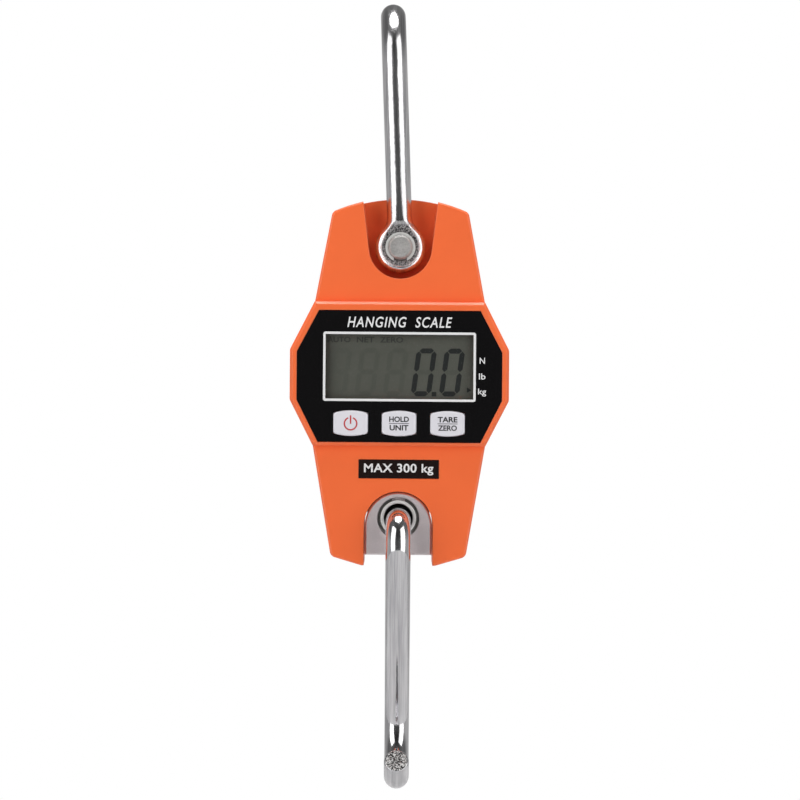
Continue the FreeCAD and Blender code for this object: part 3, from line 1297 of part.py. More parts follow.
def build():
    make_upper_hook()
    make_lower_hook()
    make_hook_pin()
    make_hook_spacer()
    make_lower_bush()
    make_hook_washer()
    make_snap_ring("pin_snap_ring", "0", "pin_radius", "pin_ring_y", opens_up=False)
    make_snap_ring("bush_snap_ring", "bush_z", "bush_radius", "bush_groove", opens_up=True)
    make_snap_ring("hook_snap_ring", "stub_z", "rod_radius", "stub_ring_y", opens_up=False)
    make_front_case()
    make_rear_case()
    make_battery_door()
    make_load_cell()
    make_strain_gauges()
    make_screws("case_screw", CASE_POSTS, "screw_seat", "-case_screw_grip")
    make_screws("cell_screw", CELL_POSTS, "boss_rear", "-cell_front - cell_screw_grip")
    make_screws("board_screw", BOARD_POSTS, "board_rear", "-board_front - board_screw_grip")
    make_display_overlay()
    make_display_window()
    make_display_module()
    make_main_board()
    make_keys()
    make_capacity_label()
    make_batteries()
    make_battery_contacts()
    make_battery_lead("positive_lead", "lead_offset")
    make_battery_lead("negative_lead", "lead_offset - lead_pitch")
    make_cell_lead()
    doc.recompute()


def write():
    faults = [thing.Name for thing in doc.Objects if "Invalid" in thing.State or "Error" in thing.State]
    if faults:
        raise RuntimeError(f"these objects failed: {faults}")
    for thing in finished:
        if thing.Shape.isNull() or not thing.Shape.isValid() or not thing.Shape.Solids:
            raise RuntimeError(f"{thing.Label} has no valid solid")
    os.makedirs("parts", exist_ok=True)
    for thing in finished:
        thing.Shape.exportStep(f"parts/{thing.Label}.step")
        print(f"{thing.Label}: {len(thing.Shape.Solids)} solid(s), {thing.Shape.Volume:.1f} mm3")


build()
write()
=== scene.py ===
# %% [markdown]
# # A hanging digital scale
# The scale hangs from an upper steel hook, carries its load on a lower one, and shows the weight on a
# liquid crystal display. The packed model already holds every part at its true size and place. This
# lesson gives each part its surface, and remakes the parts whose shape a mesh describes better than a
# solid does: the two forged hooks, the printing and the display's segments.

# %% Load the packed model
import math

import bmesh
import bpy
import numpy as np
from mathutils import Matrix, Vector
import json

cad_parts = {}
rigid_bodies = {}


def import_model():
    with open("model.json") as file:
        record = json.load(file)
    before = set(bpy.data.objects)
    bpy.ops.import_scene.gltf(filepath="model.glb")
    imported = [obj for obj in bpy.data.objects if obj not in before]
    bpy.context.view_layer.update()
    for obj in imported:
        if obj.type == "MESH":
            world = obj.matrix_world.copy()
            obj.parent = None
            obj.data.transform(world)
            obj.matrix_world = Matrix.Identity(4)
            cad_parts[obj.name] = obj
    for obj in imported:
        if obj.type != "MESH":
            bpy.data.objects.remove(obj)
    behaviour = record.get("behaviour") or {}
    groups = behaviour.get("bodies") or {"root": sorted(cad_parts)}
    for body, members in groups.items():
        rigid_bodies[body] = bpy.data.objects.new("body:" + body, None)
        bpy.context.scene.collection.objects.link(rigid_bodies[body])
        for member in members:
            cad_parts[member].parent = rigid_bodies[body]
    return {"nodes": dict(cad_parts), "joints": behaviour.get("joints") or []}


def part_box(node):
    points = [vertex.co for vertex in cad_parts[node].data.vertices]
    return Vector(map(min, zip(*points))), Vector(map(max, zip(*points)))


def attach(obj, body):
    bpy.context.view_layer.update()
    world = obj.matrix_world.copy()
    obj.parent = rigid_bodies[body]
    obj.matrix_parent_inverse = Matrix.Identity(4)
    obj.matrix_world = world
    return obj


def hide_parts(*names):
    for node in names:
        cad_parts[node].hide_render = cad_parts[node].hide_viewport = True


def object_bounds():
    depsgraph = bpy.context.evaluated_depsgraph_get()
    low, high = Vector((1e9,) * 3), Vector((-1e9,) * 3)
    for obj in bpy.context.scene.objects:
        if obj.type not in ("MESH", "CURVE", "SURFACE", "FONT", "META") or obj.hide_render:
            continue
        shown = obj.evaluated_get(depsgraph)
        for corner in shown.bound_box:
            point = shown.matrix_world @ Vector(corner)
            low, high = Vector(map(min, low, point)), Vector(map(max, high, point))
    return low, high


for thing in list(bpy.data.objects):
    bpy.data.objects.remove(thing)
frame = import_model()
frame_low, frame_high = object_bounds()

# %% [markdown]
# ## Millimetres and places
# Blender works in metres, but a scale this small is easier to think about in millimetres, so every number
# below is in millimetres and is turned into metres only when a mesh is made. The places come from the
# packed parts: a part's box gives its faces, and a joint gives its axis.

# %% Places on the scale
MM = 0.001


def span(node):
    """A packed part's lowest and highest corner."""
    low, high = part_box(node)
    return low / MM, high / MM


def middle(node):
    low, high = span(node)
    return (low + high) / 2


def axis_of(joint_name):
    """A point on a joint's axis."""
    joint = next(joint for joint in frame["joints"] if joint["name"] == joint_name)
    return Vector(joint["pos_m"]) / MM


pin = axis_of("case_swing")
stub = axis_of("lower_hook_swing")
centre_x = pin.x
overlay_face = span("display_overlay")[0].y
glass_face = span("display_glass")[0].y
key_face = span("hold_key")[0].y
label_face = span("capacity_label")[0].y
window_middle = middle("display_window")
print("the case's centre line is at x =", round(centre_x, 2), "and the pin at z =", round(pin.z, 2))

# %% [markdown]
# ## Sockets that do arithmetic
# A material is a graph of nodes, and building one node by node hides what it says. So a `Socket` wraps a
# node's output and adds a Math node for each operator. The reflected forms are there too, which lets a
# number stand first, as in `1 - mask`. Math nodes work on plain values: a colour goes through a Mix node
# or a Vector Math node, because a Math node would turn it grey.

# %% A socket with operators


def arithmetic(operation, swapped=False):
    """An operator that adds a Math node; swapped puts the other value first."""
    def apply(self, other):
        first, second = (other, self) if swapped else (self, other)
        return self.paint.node("ShaderNodeMath", {"operation": operation}, {0: first, 1: second})
    return apply


class Socket:
    """A node's output, on which the operators add Math nodes."""

    def __init__(self, paint, end):
        self.paint, self.end = paint, end

    __add__, __radd__ = arithmetic("ADD"), arithmetic("ADD", swapped=True)
    __sub__, __rsub__ = arithmetic("SUBTRACT"), arithmetic("SUBTRACT", swapped=True)
    __mul__, __rmul__ = arithmetic("MULTIPLY"), arithmetic("MULTIPLY", swapped=True)
    __truediv__, __rtruediv__ = arithmetic("DIVIDE"), arithmetic("DIVIDE", swapped=True)


print("a socket knows", sum(name.startswith("__r") for name in vars(Socket)), "reflected operators")

# %% [markdown]
# ## One class for a graph of nodes
# A `Paint` holds the nodes of one material, or of the room's light. Its `node` method makes any node from
# its type, its settings, which are set first, and what goes into its sockets. Places come from the
# object's own coordinates, in millimetres, so a finish stays on a part that swings.

# %% The paint class


class Paint:
    """The nodes of a material or of a world."""

    def __init__(self, owner):
        self.owner = owner
        owner.use_nodes = True
        self.tree = owner.node_tree
        self.tree.nodes.clear()

    def node(self, kind, settings=None, sockets=None, output=0):
        """Adds a node; its settings come first, then a value or a link for each socket."""
        made = self.tree.nodes.new(kind)
        for name, value in (settings or {}).items():
            if name == "stops":
                self.set_stops(made.color_ramp, value)
            else:
                setattr(made, name, value)
        for key, value in (sockets or {}).items():
            self.feed(made.inputs[key], value)
        return Socket(self, made.outputs[output]) if made.outputs else None

    def feed(self, socket, value):
        """Links a socket, or sets its own value."""
        if isinstance(value, Socket):
            self.tree.links.new(value.end, socket)
        elif isinstance(value, (tuple, list)) and socket.type == "RGBA":
            socket.default_value = (*value[:3], 1)
        else:
            socket.default_value = value

    @staticmethod
    def set_stops(ramp, stops):
        """Puts (place, grey value) stops on a ramp."""
        while len(ramp.elements) > len(stops):
            ramp.elements.remove(ramp.elements[-1])
        while len(ramp.elements) < len(stops):
            ramp.elements.new(1)
        for element, (place, grey) in zip(ramp.elements, stops):
            element.position = place
            element.color = (grey, grey, grey, 1)

    def place(self, stretch=(1, 1, 1)):
        """The surface point in millimetres, stretched along the axes."""
        point = self.node("ShaderNodeTexCoord", output="Object")
        scale = [share / MM for share in stretch]
        return self.node("ShaderNodeVectorMath", {"operation": "MULTIPLY"}, {0: point, 1: scale})

    def along(self, axis):
        """One coordinate of the surface point, in millimetres."""
        return self.node("ShaderNodeSeparateXYZ", {}, {0: self.place()}, output=axis)

    def noise(self, per_mm, detail=2, rough=0.5, stretch=(1, 1, 1)):
        """Soft clouds, a few to the millimetre."""
        sockets = {"Vector": self.place(stretch), "Scale": per_mm, "Detail": detail,
                   "Roughness": rough}
        return self.node("ShaderNodeTexNoise", {}, sockets)

    def grains(self, per_mm, stretch=(1, 1, 1)):
        """The distance to the nearest of scattered points, for grains and pits."""
        return self.node("ShaderNodeTexVoronoi", {}, {"Vector": self.place(stretch), "Scale": per_mm})

    def ramp(self, value, stops):
        """A value turned into another through (place, grey value) stops."""
        return self.node("ShaderNodeValToRGB", {"stops": stops}, {"Fac": value})

    def mix(self, factor, first, second):
        """A colour between two colours. A Mix node keeps its colour sockets at 6 and 7, its result at 2."""
        return self.node("ShaderNodeMix", {"data_type": "RGBA"}, {0: factor, 6: first, 7: second}, output=2)

    def multiply(self, first, second):
        """Two colours multiplied channel by channel."""
        return self.node("ShaderNodeVectorMath", {"operation": "MULTIPLY"}, {0: first, 1: second})

    def bump(self, height, depth_mm, normal=None):
        """A normal tilted by a height; bumps stack by passing one's normal to the next."""
        sockets = {"Height": height, "Distance": depth_mm * MM, "Strength": 1.0}
        if normal:
            sockets["Normal"] = normal
        return self.node("ShaderNodeBump", {}, sockets)

    def soft_edges(self, radius_mm):
        """Normals that round every edge off by a radius, as a mould or a tumbler does."""
        return self.node("ShaderNodeBevel", {"samples": 6}, {"Radius": radius_mm * MM})

    def painted_crevice_shade(self, reach_mm):
        """Painted shade: white in the open and darker in gaps and crevices, where less light reaches."""
        return self.node("ShaderNodeAmbientOcclusion", {"samples": 8}, {"Distance": reach_mm * MM},
                         output="AO")

    def finish(self, **surface):
        """The shader itself; a keyword's underscores stand for a socket name's spaces."""
        sockets = {name.replace("_", " "): value for name, value in surface.items()}
        shader = self.node("ShaderNodeBsdfPrincipled", {}, sockets)
        self.node("ShaderNodeOutputMaterial", {}, {"Surface": shader})
        return self.owner


def new_paint(name):
    """A paint for a new material."""
    return Paint(bpy.data.materials.new(name))


def rgb(red, green, blue):
    """A colour given as 0 to 255 display values, in the linear light that shaders use."""
    def linear(value):
        share = value / 255
        return share / 12.92 if share <= 0.04045 else ((share + 0.055) / 1.055) ** 2.4
    return (linear(red), linear(green), linear(blue))


print("half grey on a display is", round(rgb(128, 128, 128)[0], 3), "in linear light")

# %% [markdown]
# ## The hooks' steel
# Polished steel has almost no colour of its own: it shows the studio, a little blurred. Drawing the bar
# leaves fine lines along it, so the noise is stretched along the bar and stays fine across it. The eye's
# flats keep the dark, pitted skin that forging leaves, and the sawn end is rougher still. An attribute
# on the mesh, "forged", says where that skin is, so one material serves the whole hook.

# %% Hook steel


drawing_stretch = (1, 0.03, 0.03)
steel_dark, steel_light = (0.50, 0.495, 0.51), (0.78, 0.77, 0.78)
# The near-black colour of the painted shade in the skin's hollows and gaps.
crevice_shade_colour = (0.01, 0.01, 0.01)


def hook_steel(name, roughness, wave, pit, grain):
    """Drawn bar whose forged skin runs from a pit's colour to a grain's; wave bends what it mirrors."""
    paint = new_paint(name)
    drawn = paint.noise(3.0, detail=3, stretch=drawing_stretch)
    cloud = paint.noise(0.25, detail=3)
    skin = paint.node("ShaderNodeAttribute", {"attribute_name": "forged"}, output="Fac")
    pits = paint.noise(1.7, detail=4, rough=0.7)
    pitted = paint.ramp(pits, [(0.45, 0.0), (0.57, 1.0)])
    slow = paint.noise(0.7, detail=1, stretch=drawing_stretch)
    streaks = paint.ramp(drawn * 0.5 + slow * 0.5, [(0.36, 0.0), (0.62, 1.0)])
    polished = paint.mix(streaks, steel_dark, steel_light)
    # Painted shade: an occlusion node darkens the forged and sawn skin towards near black in its hollows
    # and in the gaps by the pin.
    rough_skin_and_shade = paint.mix(paint.painted_crevice_shade(0.6), crevice_shade_colour, paint.mix(pitted, pit, grain))
    lines = paint.bump(drawn, 0.012)
    waves = paint.bump(cloud, wave, lines)
    skin_bump = paint.bump(pits * skin, 0.5, waves)
    return paint.finish(Base_Color=paint.mix(skin, polished, rough_skin_and_shade), Metallic=1.0,
                        Roughness=roughness + drawn * 0.08 + skin * 0.32, Normal=skin_bump)


upper_steel = hook_steel("upper_hook_steel", 0.16, 0.11, (0.03, 0.03, 0.033), (0.36, 0.35, 0.35))
lower_steel = hook_steel("lower_hook_steel", 0.08, 0.03, (0.02, 0.02, 0.02), (0.86, 0.85, 0.84))
print("made", upper_steel.name, "and", lower_steel.name)

# %% [markdown]
# ## The other metals
# The load cell is milled aluminium that was blasted with beads, the bush and the rings are turned or
# stamped steel, and the pin was sawn to length. They share one recipe: two colours, a roughness and a
# grain. Crevices get painted shade, which draws the thin line between a ring and what it sits on. The
# load cell's pink tint is a painted reflection of the orange case. Writing the recipe once keeps the
# metals alike, and a table shows how they differ.

# %% Metal recipe


def metal(name, dark, light, roughness, grain_per_mm, grain_depth, stretch=(1, 1, 1), edge=0.08,
          spread=0.12, gap=0.5):
    """A metal that varies between two colours, with a fine grain and softened edges."""
    paint = new_paint(name)
    grain = paint.noise(grain_per_mm, detail=3, rough=0.6, stretch=stretch)
    cloud = paint.noise(0.3, detail=2)
    bare = paint.mix(grain * 0.6 + cloud * 0.4, dark, light)
    # Painted shade: an occlusion node darkens the colour in gaps and crevices, up to gap millimetres deep,
    # towards 0.15 of the dark colour.
    colour = paint.mix(paint.painted_crevice_shade(gap), [channel * 0.15 for channel in dark], bare)
    normal = paint.bump(grain, grain_depth, paint.soft_edges(edge))
    return paint.finish(Base_Color=colour, Metallic=1.0,
                        Roughness=roughness + (grain - 0.5) * spread, Normal=normal)


turned = (1, 0.08, 1)
metals = {
    "pin_steel": metal("sawn_pin_steel", (0.10, 0.10, 0.098), (0.74, 0.72, 0.70), 0.42, 1.8, 0.30,
                       edge=0.3),
    "plain_steel": metal("snap_ring_steel", (0.62, 0.61, 0.59), (0.95, 0.94, 0.92), 0.55, 3.0, 0.02,
                         edge=0.2),
    "spring_steel": metal("spring_ring_steel", (0.13, 0.125, 0.12), (0.34, 0.33, 0.32), 0.34, 3.0, 0.02,
                          edge=0.12),
    "bush_steel": metal("polished_bush_steel", (0.82, 0.81, 0.79), (0.95, 0.94, 0.92), 0.55, 2.0, 0.006,
                        edge=0.25),
    # The pink in these two colours is a painted reflection of the orange case around the load cell.
    "cell_aluminium": metal("blasted_aluminium", (0.66, 0.60, 0.61), (0.94, 0.86, 0.87), 0.50, 4.0, 0.04,
                            gap=0.1),
    "spacer_brass": metal("turned_brass", (0.55, 0.38, 0.14), (0.74, 0.55, 0.24), 0.28, 3.0, 0.01, turned),
    "screw_steel": metal("zinc_screw_steel", (0.50, 0.49, 0.45), (0.72, 0.70, 0.64), 0.30, 3.0, 0.015),
    "contact_nickel": metal("nickel_contacts", (0.55, 0.53, 0.48), (0.74, 0.72, 0.66), 0.24, 4.0, 0.01),
    "component_tin": metal("tinned_components", (0.36, 0.36, 0.37), (0.66, 0.66, 0.67), 0.38, 5.0, 0.02),
}
print("made", len(metals), "metals")

# %% [markdown]
# ## The moulded case
# The shells are moulded in bright orange plastic. A mould that was eroded by sparks leaves a fine matt
# texture of a few grains to the millimetre, and every edge comes out a little round. The bevel node rounds
# the edges in the shading, which suits a part whose solid is already exact. Keys, holders, chips and the
# sleeves of the leads are the same kind of plastic in other colours.

# %% Plastics


def moulded(name, colour, roughness, grain_per_mm=5.0, grain_depth=0.012, edge=0.2, tint=0.06, **more):
    """A moulded plastic: its colour drifts a little, and its skin has a fine grain."""
    paint = new_paint(name)
    drift = paint.noise(0.06, detail=2)
    grain = paint.grains(grain_per_mm)
    darker = [channel * (1 - tint) for channel in colour]
    lighter = [min(1.0, channel * (1 + tint)) for channel in colour]
    normal = paint.bump(grain, grain_depth, paint.soft_edges(edge))
    return paint.finish(Base_Color=paint.mix(drift, darker, lighter), Normal=normal,
                        Roughness=roughness + (grain - 0.4) * 0.10, **more)


plastics = {
    "case_orange": moulded("orange_case_plastic", (0.98, 0.163, 0.042), 0.34, 3.6, 0.007, edge=0.5,
                           Specular_IOR_Level=0.6),
    "holder_white": moulded("white_holder_plastic", (0.72, 0.72, 0.70), 0.5),
    "backlight_white": moulded("backlight_diffuser", (0.80, 0.84, 0.78), 0.3, 2.0, 0.004),
    "strip_rubber": moulded("contact_strip_rubber", (0.10, 0.10, 0.12), 0.7, 8.0, 0.02),
    "plunger_black": moulded("plunger_plastic", (0.03, 0.03, 0.03), 0.4),
    "switch_black": moulded("switch_plastic", (0.05, 0.05, 0.055), 0.5),
    "chip_black": moulded("chip_resin", (0.022, 0.022, 0.024), 0.55, 9.0, 0.015),
    "lead_red": moulded("red_lead_sleeve", (0.55, 0.03, 0.02), 0.38, 1.5, 0.01, edge=0.02),
    "lead_black": moulded("black_lead_sleeve", (0.02, 0.02, 0.02), 0.38, 1.5, 0.01, edge=0.02),
    "lead_grey": moulded("grey_lead_sleeve", (0.30, 0.30, 0.32), 0.42, 1.5, 0.01, edge=0.02),
    "key_grey": moulded("key_plastic", rgb(226, 224, 230), 0.38, 4.0, 0.010, edge=0.35, tint=0.03),
}
print("made", len(plastics), "plastics")

# %% [markdown]
# ## Black film
# The overlay and the capacity label are thin black film, so their faces are smooth and glossy with a faint
# ripple. A few specks of dust keep the black from looking like a hole.

# %% Printed film


def gloss_film(name, colour):
    """Glossy film with a faint ripple and specks of dust."""
    paint = new_paint(name)
    ripple = paint.noise(0.5, detail=2)
    dust = paint.ramp(paint.noise(7.0, detail=2), [(0.66, 0.0), (0.80, 1.0)])
    dusty = [channel + 0.05 for channel in colour]
    return paint.finish(Base_Color=paint.mix(dust * 0.35, colour, dusty), Roughness=0.20 + dust * 0.2,
                        Normal=paint.bump(ripple, 0.01, paint.soft_edges(0.08)))


films = {
    "overlay_black": gloss_film("black_overlay_film", (0.0025, 0.0022, 0.0026)),
    "label_black": gloss_film("black_label_film", (0.012, 0.006, 0.005)),
}
print("made", len(films), "films")

# %% [markdown]
# ## The clear window
# The window is thin and clear: what matters is that the display shows through it. A refracting glass would
# bend and dim the display, so most of the light goes straight through by a low alpha, and only a little
# shine and a few smudges remain.

# %% Clear window
window_paint = new_paint("clear_window")
smudge = window_paint.noise(0.15, detail=3)
smudge_dark, smudge_light = (0.04, 0.04, 0.04), (0.08, 0.08, 0.08)
clear = window_paint.finish(Base_Color=window_paint.mix(smudge, smudge_dark, smudge_light),
                            Roughness=0.08 + smudge * 0.08, Alpha=0.02 + smudge * 0.03)
print("made", clear.name)

# %% [markdown]
# ## The display's glass
# The glass is covered by a grey-green polariser. The frame around the window shades its left and upper
# edges. Wide soft boxes leave that shadow faint, so two ramps across the glass deepen it.

# %% Display glass
glass_paint = new_paint("display_polariser")
window_low, window_high = span("display_window")
side_shade_mm, top_shade_mm = 9.0, 4.0
from_left = (glass_paint.along("X") - window_low.x) / side_shade_mm
from_top = (window_high.z - glass_paint.along("Z")) / top_shade_mm
shade_left = glass_paint.ramp(from_left, [(0.0, 0.62), (0.35, 0.9), (1.0, 1.0)])
shade_top = glass_paint.ramp(from_top, [(0.0, 0.80), (0.5, 0.93), (1.0, 1.0)])
mottle = glass_paint.noise(1.2, detail=4)
grey_green = glass_paint.mix(mottle, rgb(84, 86, 78), rgb(93, 94, 87))
shaded = glass_paint.multiply(glass_paint.multiply(grey_green, shade_left), shade_top)
polariser = glass_paint.finish(Base_Color=shaded, Roughness=0.34 + mottle * 0.06,
                               Specular_IOR_Level=0.3)
print("made", polariser.name, "for a window", round(window_high.x - window_low.x, 1), "mm wide")

# %% [markdown]
# ## The circuit board
# Under its green lacquer a board has copper areas that look lighter. Cells of a Voronoi texture, cut off
# at a distance, give such patches without drawing any real circuit.

# %% Circuit board
board_paint = new_paint("green_circuit_board")
tracks = board_paint.ramp(board_paint.grains(0.45, stretch=(1, 1, 2)), [(0.30, 0.0), (0.34, 1.0)])
weave = board_paint.noise(4.0, detail=2)
board_green = board_paint.finish(
    Base_Color=board_paint.mix(tracks, (0.015, 0.10, 0.035), (0.03, 0.17, 0.06)),
    Roughness=0.32 + weave * 0.12, Normal=board_paint.bump(tracks, 0.03, board_paint.soft_edges(0.08)))
print("made", board_green.name)

# %% [markdown]
# ## The batteries
# A battery's jacket is printed film over steel: black in the middle and copper at the ends. The distance
# from the case's centre line says which, so one material serves all three cells whichever way they lie.

# %% Battery jackets
jacket_paint = new_paint("battery_jacket")
black_half = 17.0
from_centre = jacket_paint.along("X") - centre_x
off_centre = jacket_paint.node("ShaderNodeMath", {"operation": "ABSOLUTE"}, {0: from_centre})
band = jacket_paint.ramp((off_centre - (black_half - 5.0)) / 10.0, [(0.48, 0.0), (0.50, 1.0)])
scuffs = jacket_paint.noise(1.5, detail=4, stretch=(0.2, 1, 1))
jacket = jacket_paint.finish(
    Base_Color=jacket_paint.mix(band, (0.012, 0.014, 0.02), (0.62, 0.34, 0.10)),
    Metallic=band * 0.8, Roughness=0.24 + scuffs * 0.16,
    Normal=jacket_paint.bump(scuffs, 0.01, jacket_paint.soft_edges(0.4)))
print("made", jacket.name, "with a black band", 2 * black_half, "mm long")

# %% [markdown]
# ## The strain gauges
# A strain gauge is a fine zigzag of foil on a brown film. A wave texture draws its level lines.

# %% Strain gauges
gauge_paint = new_paint("strain_gauge_foil")
foil_lines = gauge_paint.node("ShaderNodeTexWave", {"bands_direction": "Z"},
                              {"Vector": gauge_paint.place(), "Scale": 0.8, "Distortion": 0.0})
foil = gauge_paint.finish(Base_Color=gauge_paint.mix(foil_lines, (0.42, 0.22, 0.06), (0.62, 0.42, 0.20)),
                          Roughness=0.35 + foil_lines * 0.15, Normal=gauge_paint.bump(foil_lines, 0.02))
print("made", foil.name)

# %% [markdown]
# ## Painting the packed parts
# The record names a material slot for every part. One table from slot to finish paints them all, and the
# exact solids keep the normals that came with them, so their curves already shade smoothly. The bush's
# snap ring gets a darker spring steel of its own, which sets it off from the bright bush.

# %% Paint every packed part
finishes = {**metals, **plastics, **films, "window_clear": clear, "display_grey": polariser,
            "board_green": board_green, "battery_jacket": jacket, "gauge_foil": foil,
            "hook_steel": lower_steel}
for node in frame["nodes"].values():
    for slot in node.material_slots:
        slot.material = finishes[slot.material.name]
frame["nodes"]["bush_snap_ring"].material_slots[0].material = finishes["spring_steel"]
print("painted", len(frame["nodes"]), "parts")

# %% [markdown]
# ## Meshes
# A mesh is a list of points and of faces that join them. Every piece that the lesson adds ends the same
# way: `put` gives it its material and lets it ride on a body of the packed model.

# %% The mesh helpers


def put(name, mesh, material, body):
    """Makes an object from a mesh, with a material, that rides on a body."""
    mesh.materials.append(material)
    piece = bpy.data.objects.new(name, mesh)
    bpy.context.scene.collection.objects.link(piece)
    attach(piece, body)
    return piece


def make_piece(name, points, faces, material, body, smooth_below=40):
    """Makes a piece from points in millimetres; edges sharper than an angle stay sharp."""
    mesh = bpy.data.meshes.new(name)
    mesh.from_pydata([tuple(c * MM for c in point) for point in points], [], faces)
    work = bmesh.new()
    work.from_mesh(mesh)
    bmesh.ops.recalc_face_normals(work, faces=work.faces)
    work.to_mesh(mesh)
    work.free()
    mesh.shade_smooth()
    mesh.set_sharp_from_angle(angle=math.radians(smooth_below))
    return put(name, mesh, material, body)


# %% [markdown]
# ## The hooks' centre lines
# Both hooks are bent from one round bar. Seen from the side, each is a few straight lines and arcs: a bend
# near the case, a long shank, and a bowl about the seat where the load hangs. The shank has to meet its two
# arcs without a kink, so it is the line that touches both circles, and its tilt follows from their places.

# %% Bar and bowls
bar_radius = (span("lower_hook")[1].x - span("lower_hook")[0].x) / 2
bowl_radius = 10.5
bowl_line = bowl_radius + bar_radius
hook_lean = math.radians(2.2)
upper_bowl = Vector((0, math.hypot(pin.x, pin.z) - bowl_radius))
lower_bowl = Vector((0, span("lower_hook")[0].z + 2 * bar_radius + bowl_radius))


def arc_points(centre, radius, start, end, step=0.5):
    """Points along an arc, as (y, z) in the hook's plane, from one angle to another."""
    count = max(3, int(abs(end - start) * radius / step))
    return [centre + radius * Vector((math.cos(t), math.sin(t))) for t in np.linspace(start, end, count)]


def line_points(start, end, step=0.8):
    """Points along a straight line."""
    count = max(2, int((end - start).length / step))
    return [start.lerp(end, share) for share in np.linspace(0, 1, count)]


print("the bar's radius is", round(bar_radius, 2), "and the bowls' is", bowl_radius)

# %% [markdown]
# ## The upper hook
# The upper hook's eye is forged from the end of the bar: a flat ring that flows into the round shank, with
# two flats that fade out up the neck. That flow is awkward for edges and faces but easy for a distance
# formula. Each simple form gives the distance from a point to its surface, a smooth minimum melts them
# together, and a mesh is pulled onto the place where the distance is nothing. So the blend is exact.

# %% Distance formulas
neck_straight, neck_bend = 9.0, 20.0
eye_low, eye_high = -10.6, -2.8
eye_middle = (eye_low + eye_high) / 2
eye_radius, eye_half, eye_edge, bore_radius = 8.1, 3.84, 2.5, 4.05
span_y, span_z = neck_bend - eye_middle, upper_bowl.y - neck_straight
upper_tilt = (math.asin((neck_bend + bowl_line) / math.hypot(span_y, span_z))
              - math.atan(span_y / span_z))
upper_flare = math.radians(14)
bend_centre = Vector((eye_middle - neck_bend, neck_straight))
tip_length = 7.0


def to_line(points, start, end):
    """Distance from points to a straight piece of centre line in the hook's plane."""
    along = np.array(end) - np.array(start)
    flat = points[:, 1:] - np.array(start)
    share = np.clip(flat @ along / (along @ along), 0, 1)
    rest = flat - share[:, None] * along
    return np.sqrt(points[:, 0] ** 2 + (rest ** 2).sum(1))


def to_arc(points, centre, radius, start, end):
    """Distance from points to an arc of centre line, from one angle to another."""
    flat = points[:, 1:] - np.array(centre)
    middle_angle, half = (start + end) / 2, abs(end - start) / 2
    turn = (np.arctan2(flat[:, 1], flat[:, 0]) - middle_angle + np.pi) % (2 * np.pi) - np.pi
    angle = np.clip(turn, -half, half) + middle_angle
    rest = flat - radius * np.stack([np.cos(angle), np.sin(angle)], 1)
    return np.sqrt(points[:, 0] ** 2 + (rest ** 2).sum(1))


def melt(first, second, width):
    """The smaller of two distances, blended where they are within a width of each other."""
    share = np.clip(0.5 + 0.5 * (second - first) / width, 0, 1)
    return second * (1 - share) + first * share - width * share * (1 - share)


print("the shank tilts back by", round(math.degrees(upper_tilt), 1), "degrees")

# %% [markdown]
# The bar is the nearest of its lines and arcs, the eye is a slab with a round rim, and the flats and the
# bore are cut away with the same smooth minimum turned inside out. Above the neck the flats stand far off,
# so they touch nothing else.

# %% The hook as one distance
shank_low = bend_centre + neck_bend * Vector((math.cos(upper_tilt), math.sin(upper_tilt)))
shank_high = upper_bowl - bowl_line * Vector((math.cos(upper_tilt), math.sin(upper_tilt)))
tip_start = upper_bowl + bowl_line * Vector((math.cos(upper_flare), math.sin(upper_flare)))
tip_end = tip_start + tip_length * Vector((math.sin(upper_flare), -math.cos(upper_flare)))
tip_way = (tip_end - tip_start).normalized()
flat_ups, flat_halves = [6.0, 17.0, 20.0], [3.80, 4.15, 900.0]
neck_melt, flat_melt, bore_melt, tip_melt = 2.6, 0.25, 0.3, 0.8


def flat_height(points):
    """How far a point stands outside the two flats, which fade out up the neck."""
    up = points[:, 2]
    bent = np.clip(up - neck_straight, 0, None)
    line_y = eye_middle - bent ** 2 / (2 * neck_bend)
    return np.abs(points[:, 1] - line_y) - np.interp(up, flat_ups, flat_halves)


def upper_hook_distance(points):
    """Distance from points to the upper hook's surface, negative inside."""
    bar = np.minimum.reduce([
        to_line(points, (eye_middle, 2.0), (eye_middle, neck_straight)),
        to_arc(points, bend_centre, neck_bend, 0.0, upper_tilt),
        to_line(points, shank_low, shank_high),
        to_arc(points, upper_bowl, bowl_line, upper_flare, math.pi + upper_tilt),
    ]) - bar_radius
    beyond = (points[:, 1:] - np.array(tip_end)) @ np.array(tip_way)
    tip = -melt(-(to_line(points, tip_start, tip_end) - bar_radius), -beyond, tip_melt)
    bar = np.minimum(bar, tip)
    ring = np.hypot(points[:, 0], points[:, 2]) - (eye_radius - eye_edge)
    slab = np.abs(points[:, 1] - eye_middle) - (eye_half - eye_edge)
    eye = (np.minimum(np.maximum(ring, slab), 0)
           + np.hypot(np.maximum(ring, 0), np.maximum(slab, 0)) - eye_edge)
    solid = melt(bar, eye, neck_melt)
    solid = -melt(-solid, -flat_height(points), flat_melt)
    bore = bore_radius - np.hypot(points[:, 0], points[:, 2])
    return -melt(-solid, -bore, bore_melt)


print("the hook's tip ends at z =", round(tip_end.y + pin.z, 1))

# %% [markdown]
# A rough shell of overlapping tubes is remeshed into even squares, and then a few steps walk each point
# along the formula's slope to the surface. Points that lie on the flats are marked as forged skin.

# %% A rough shell
voxel_mm = 0.36


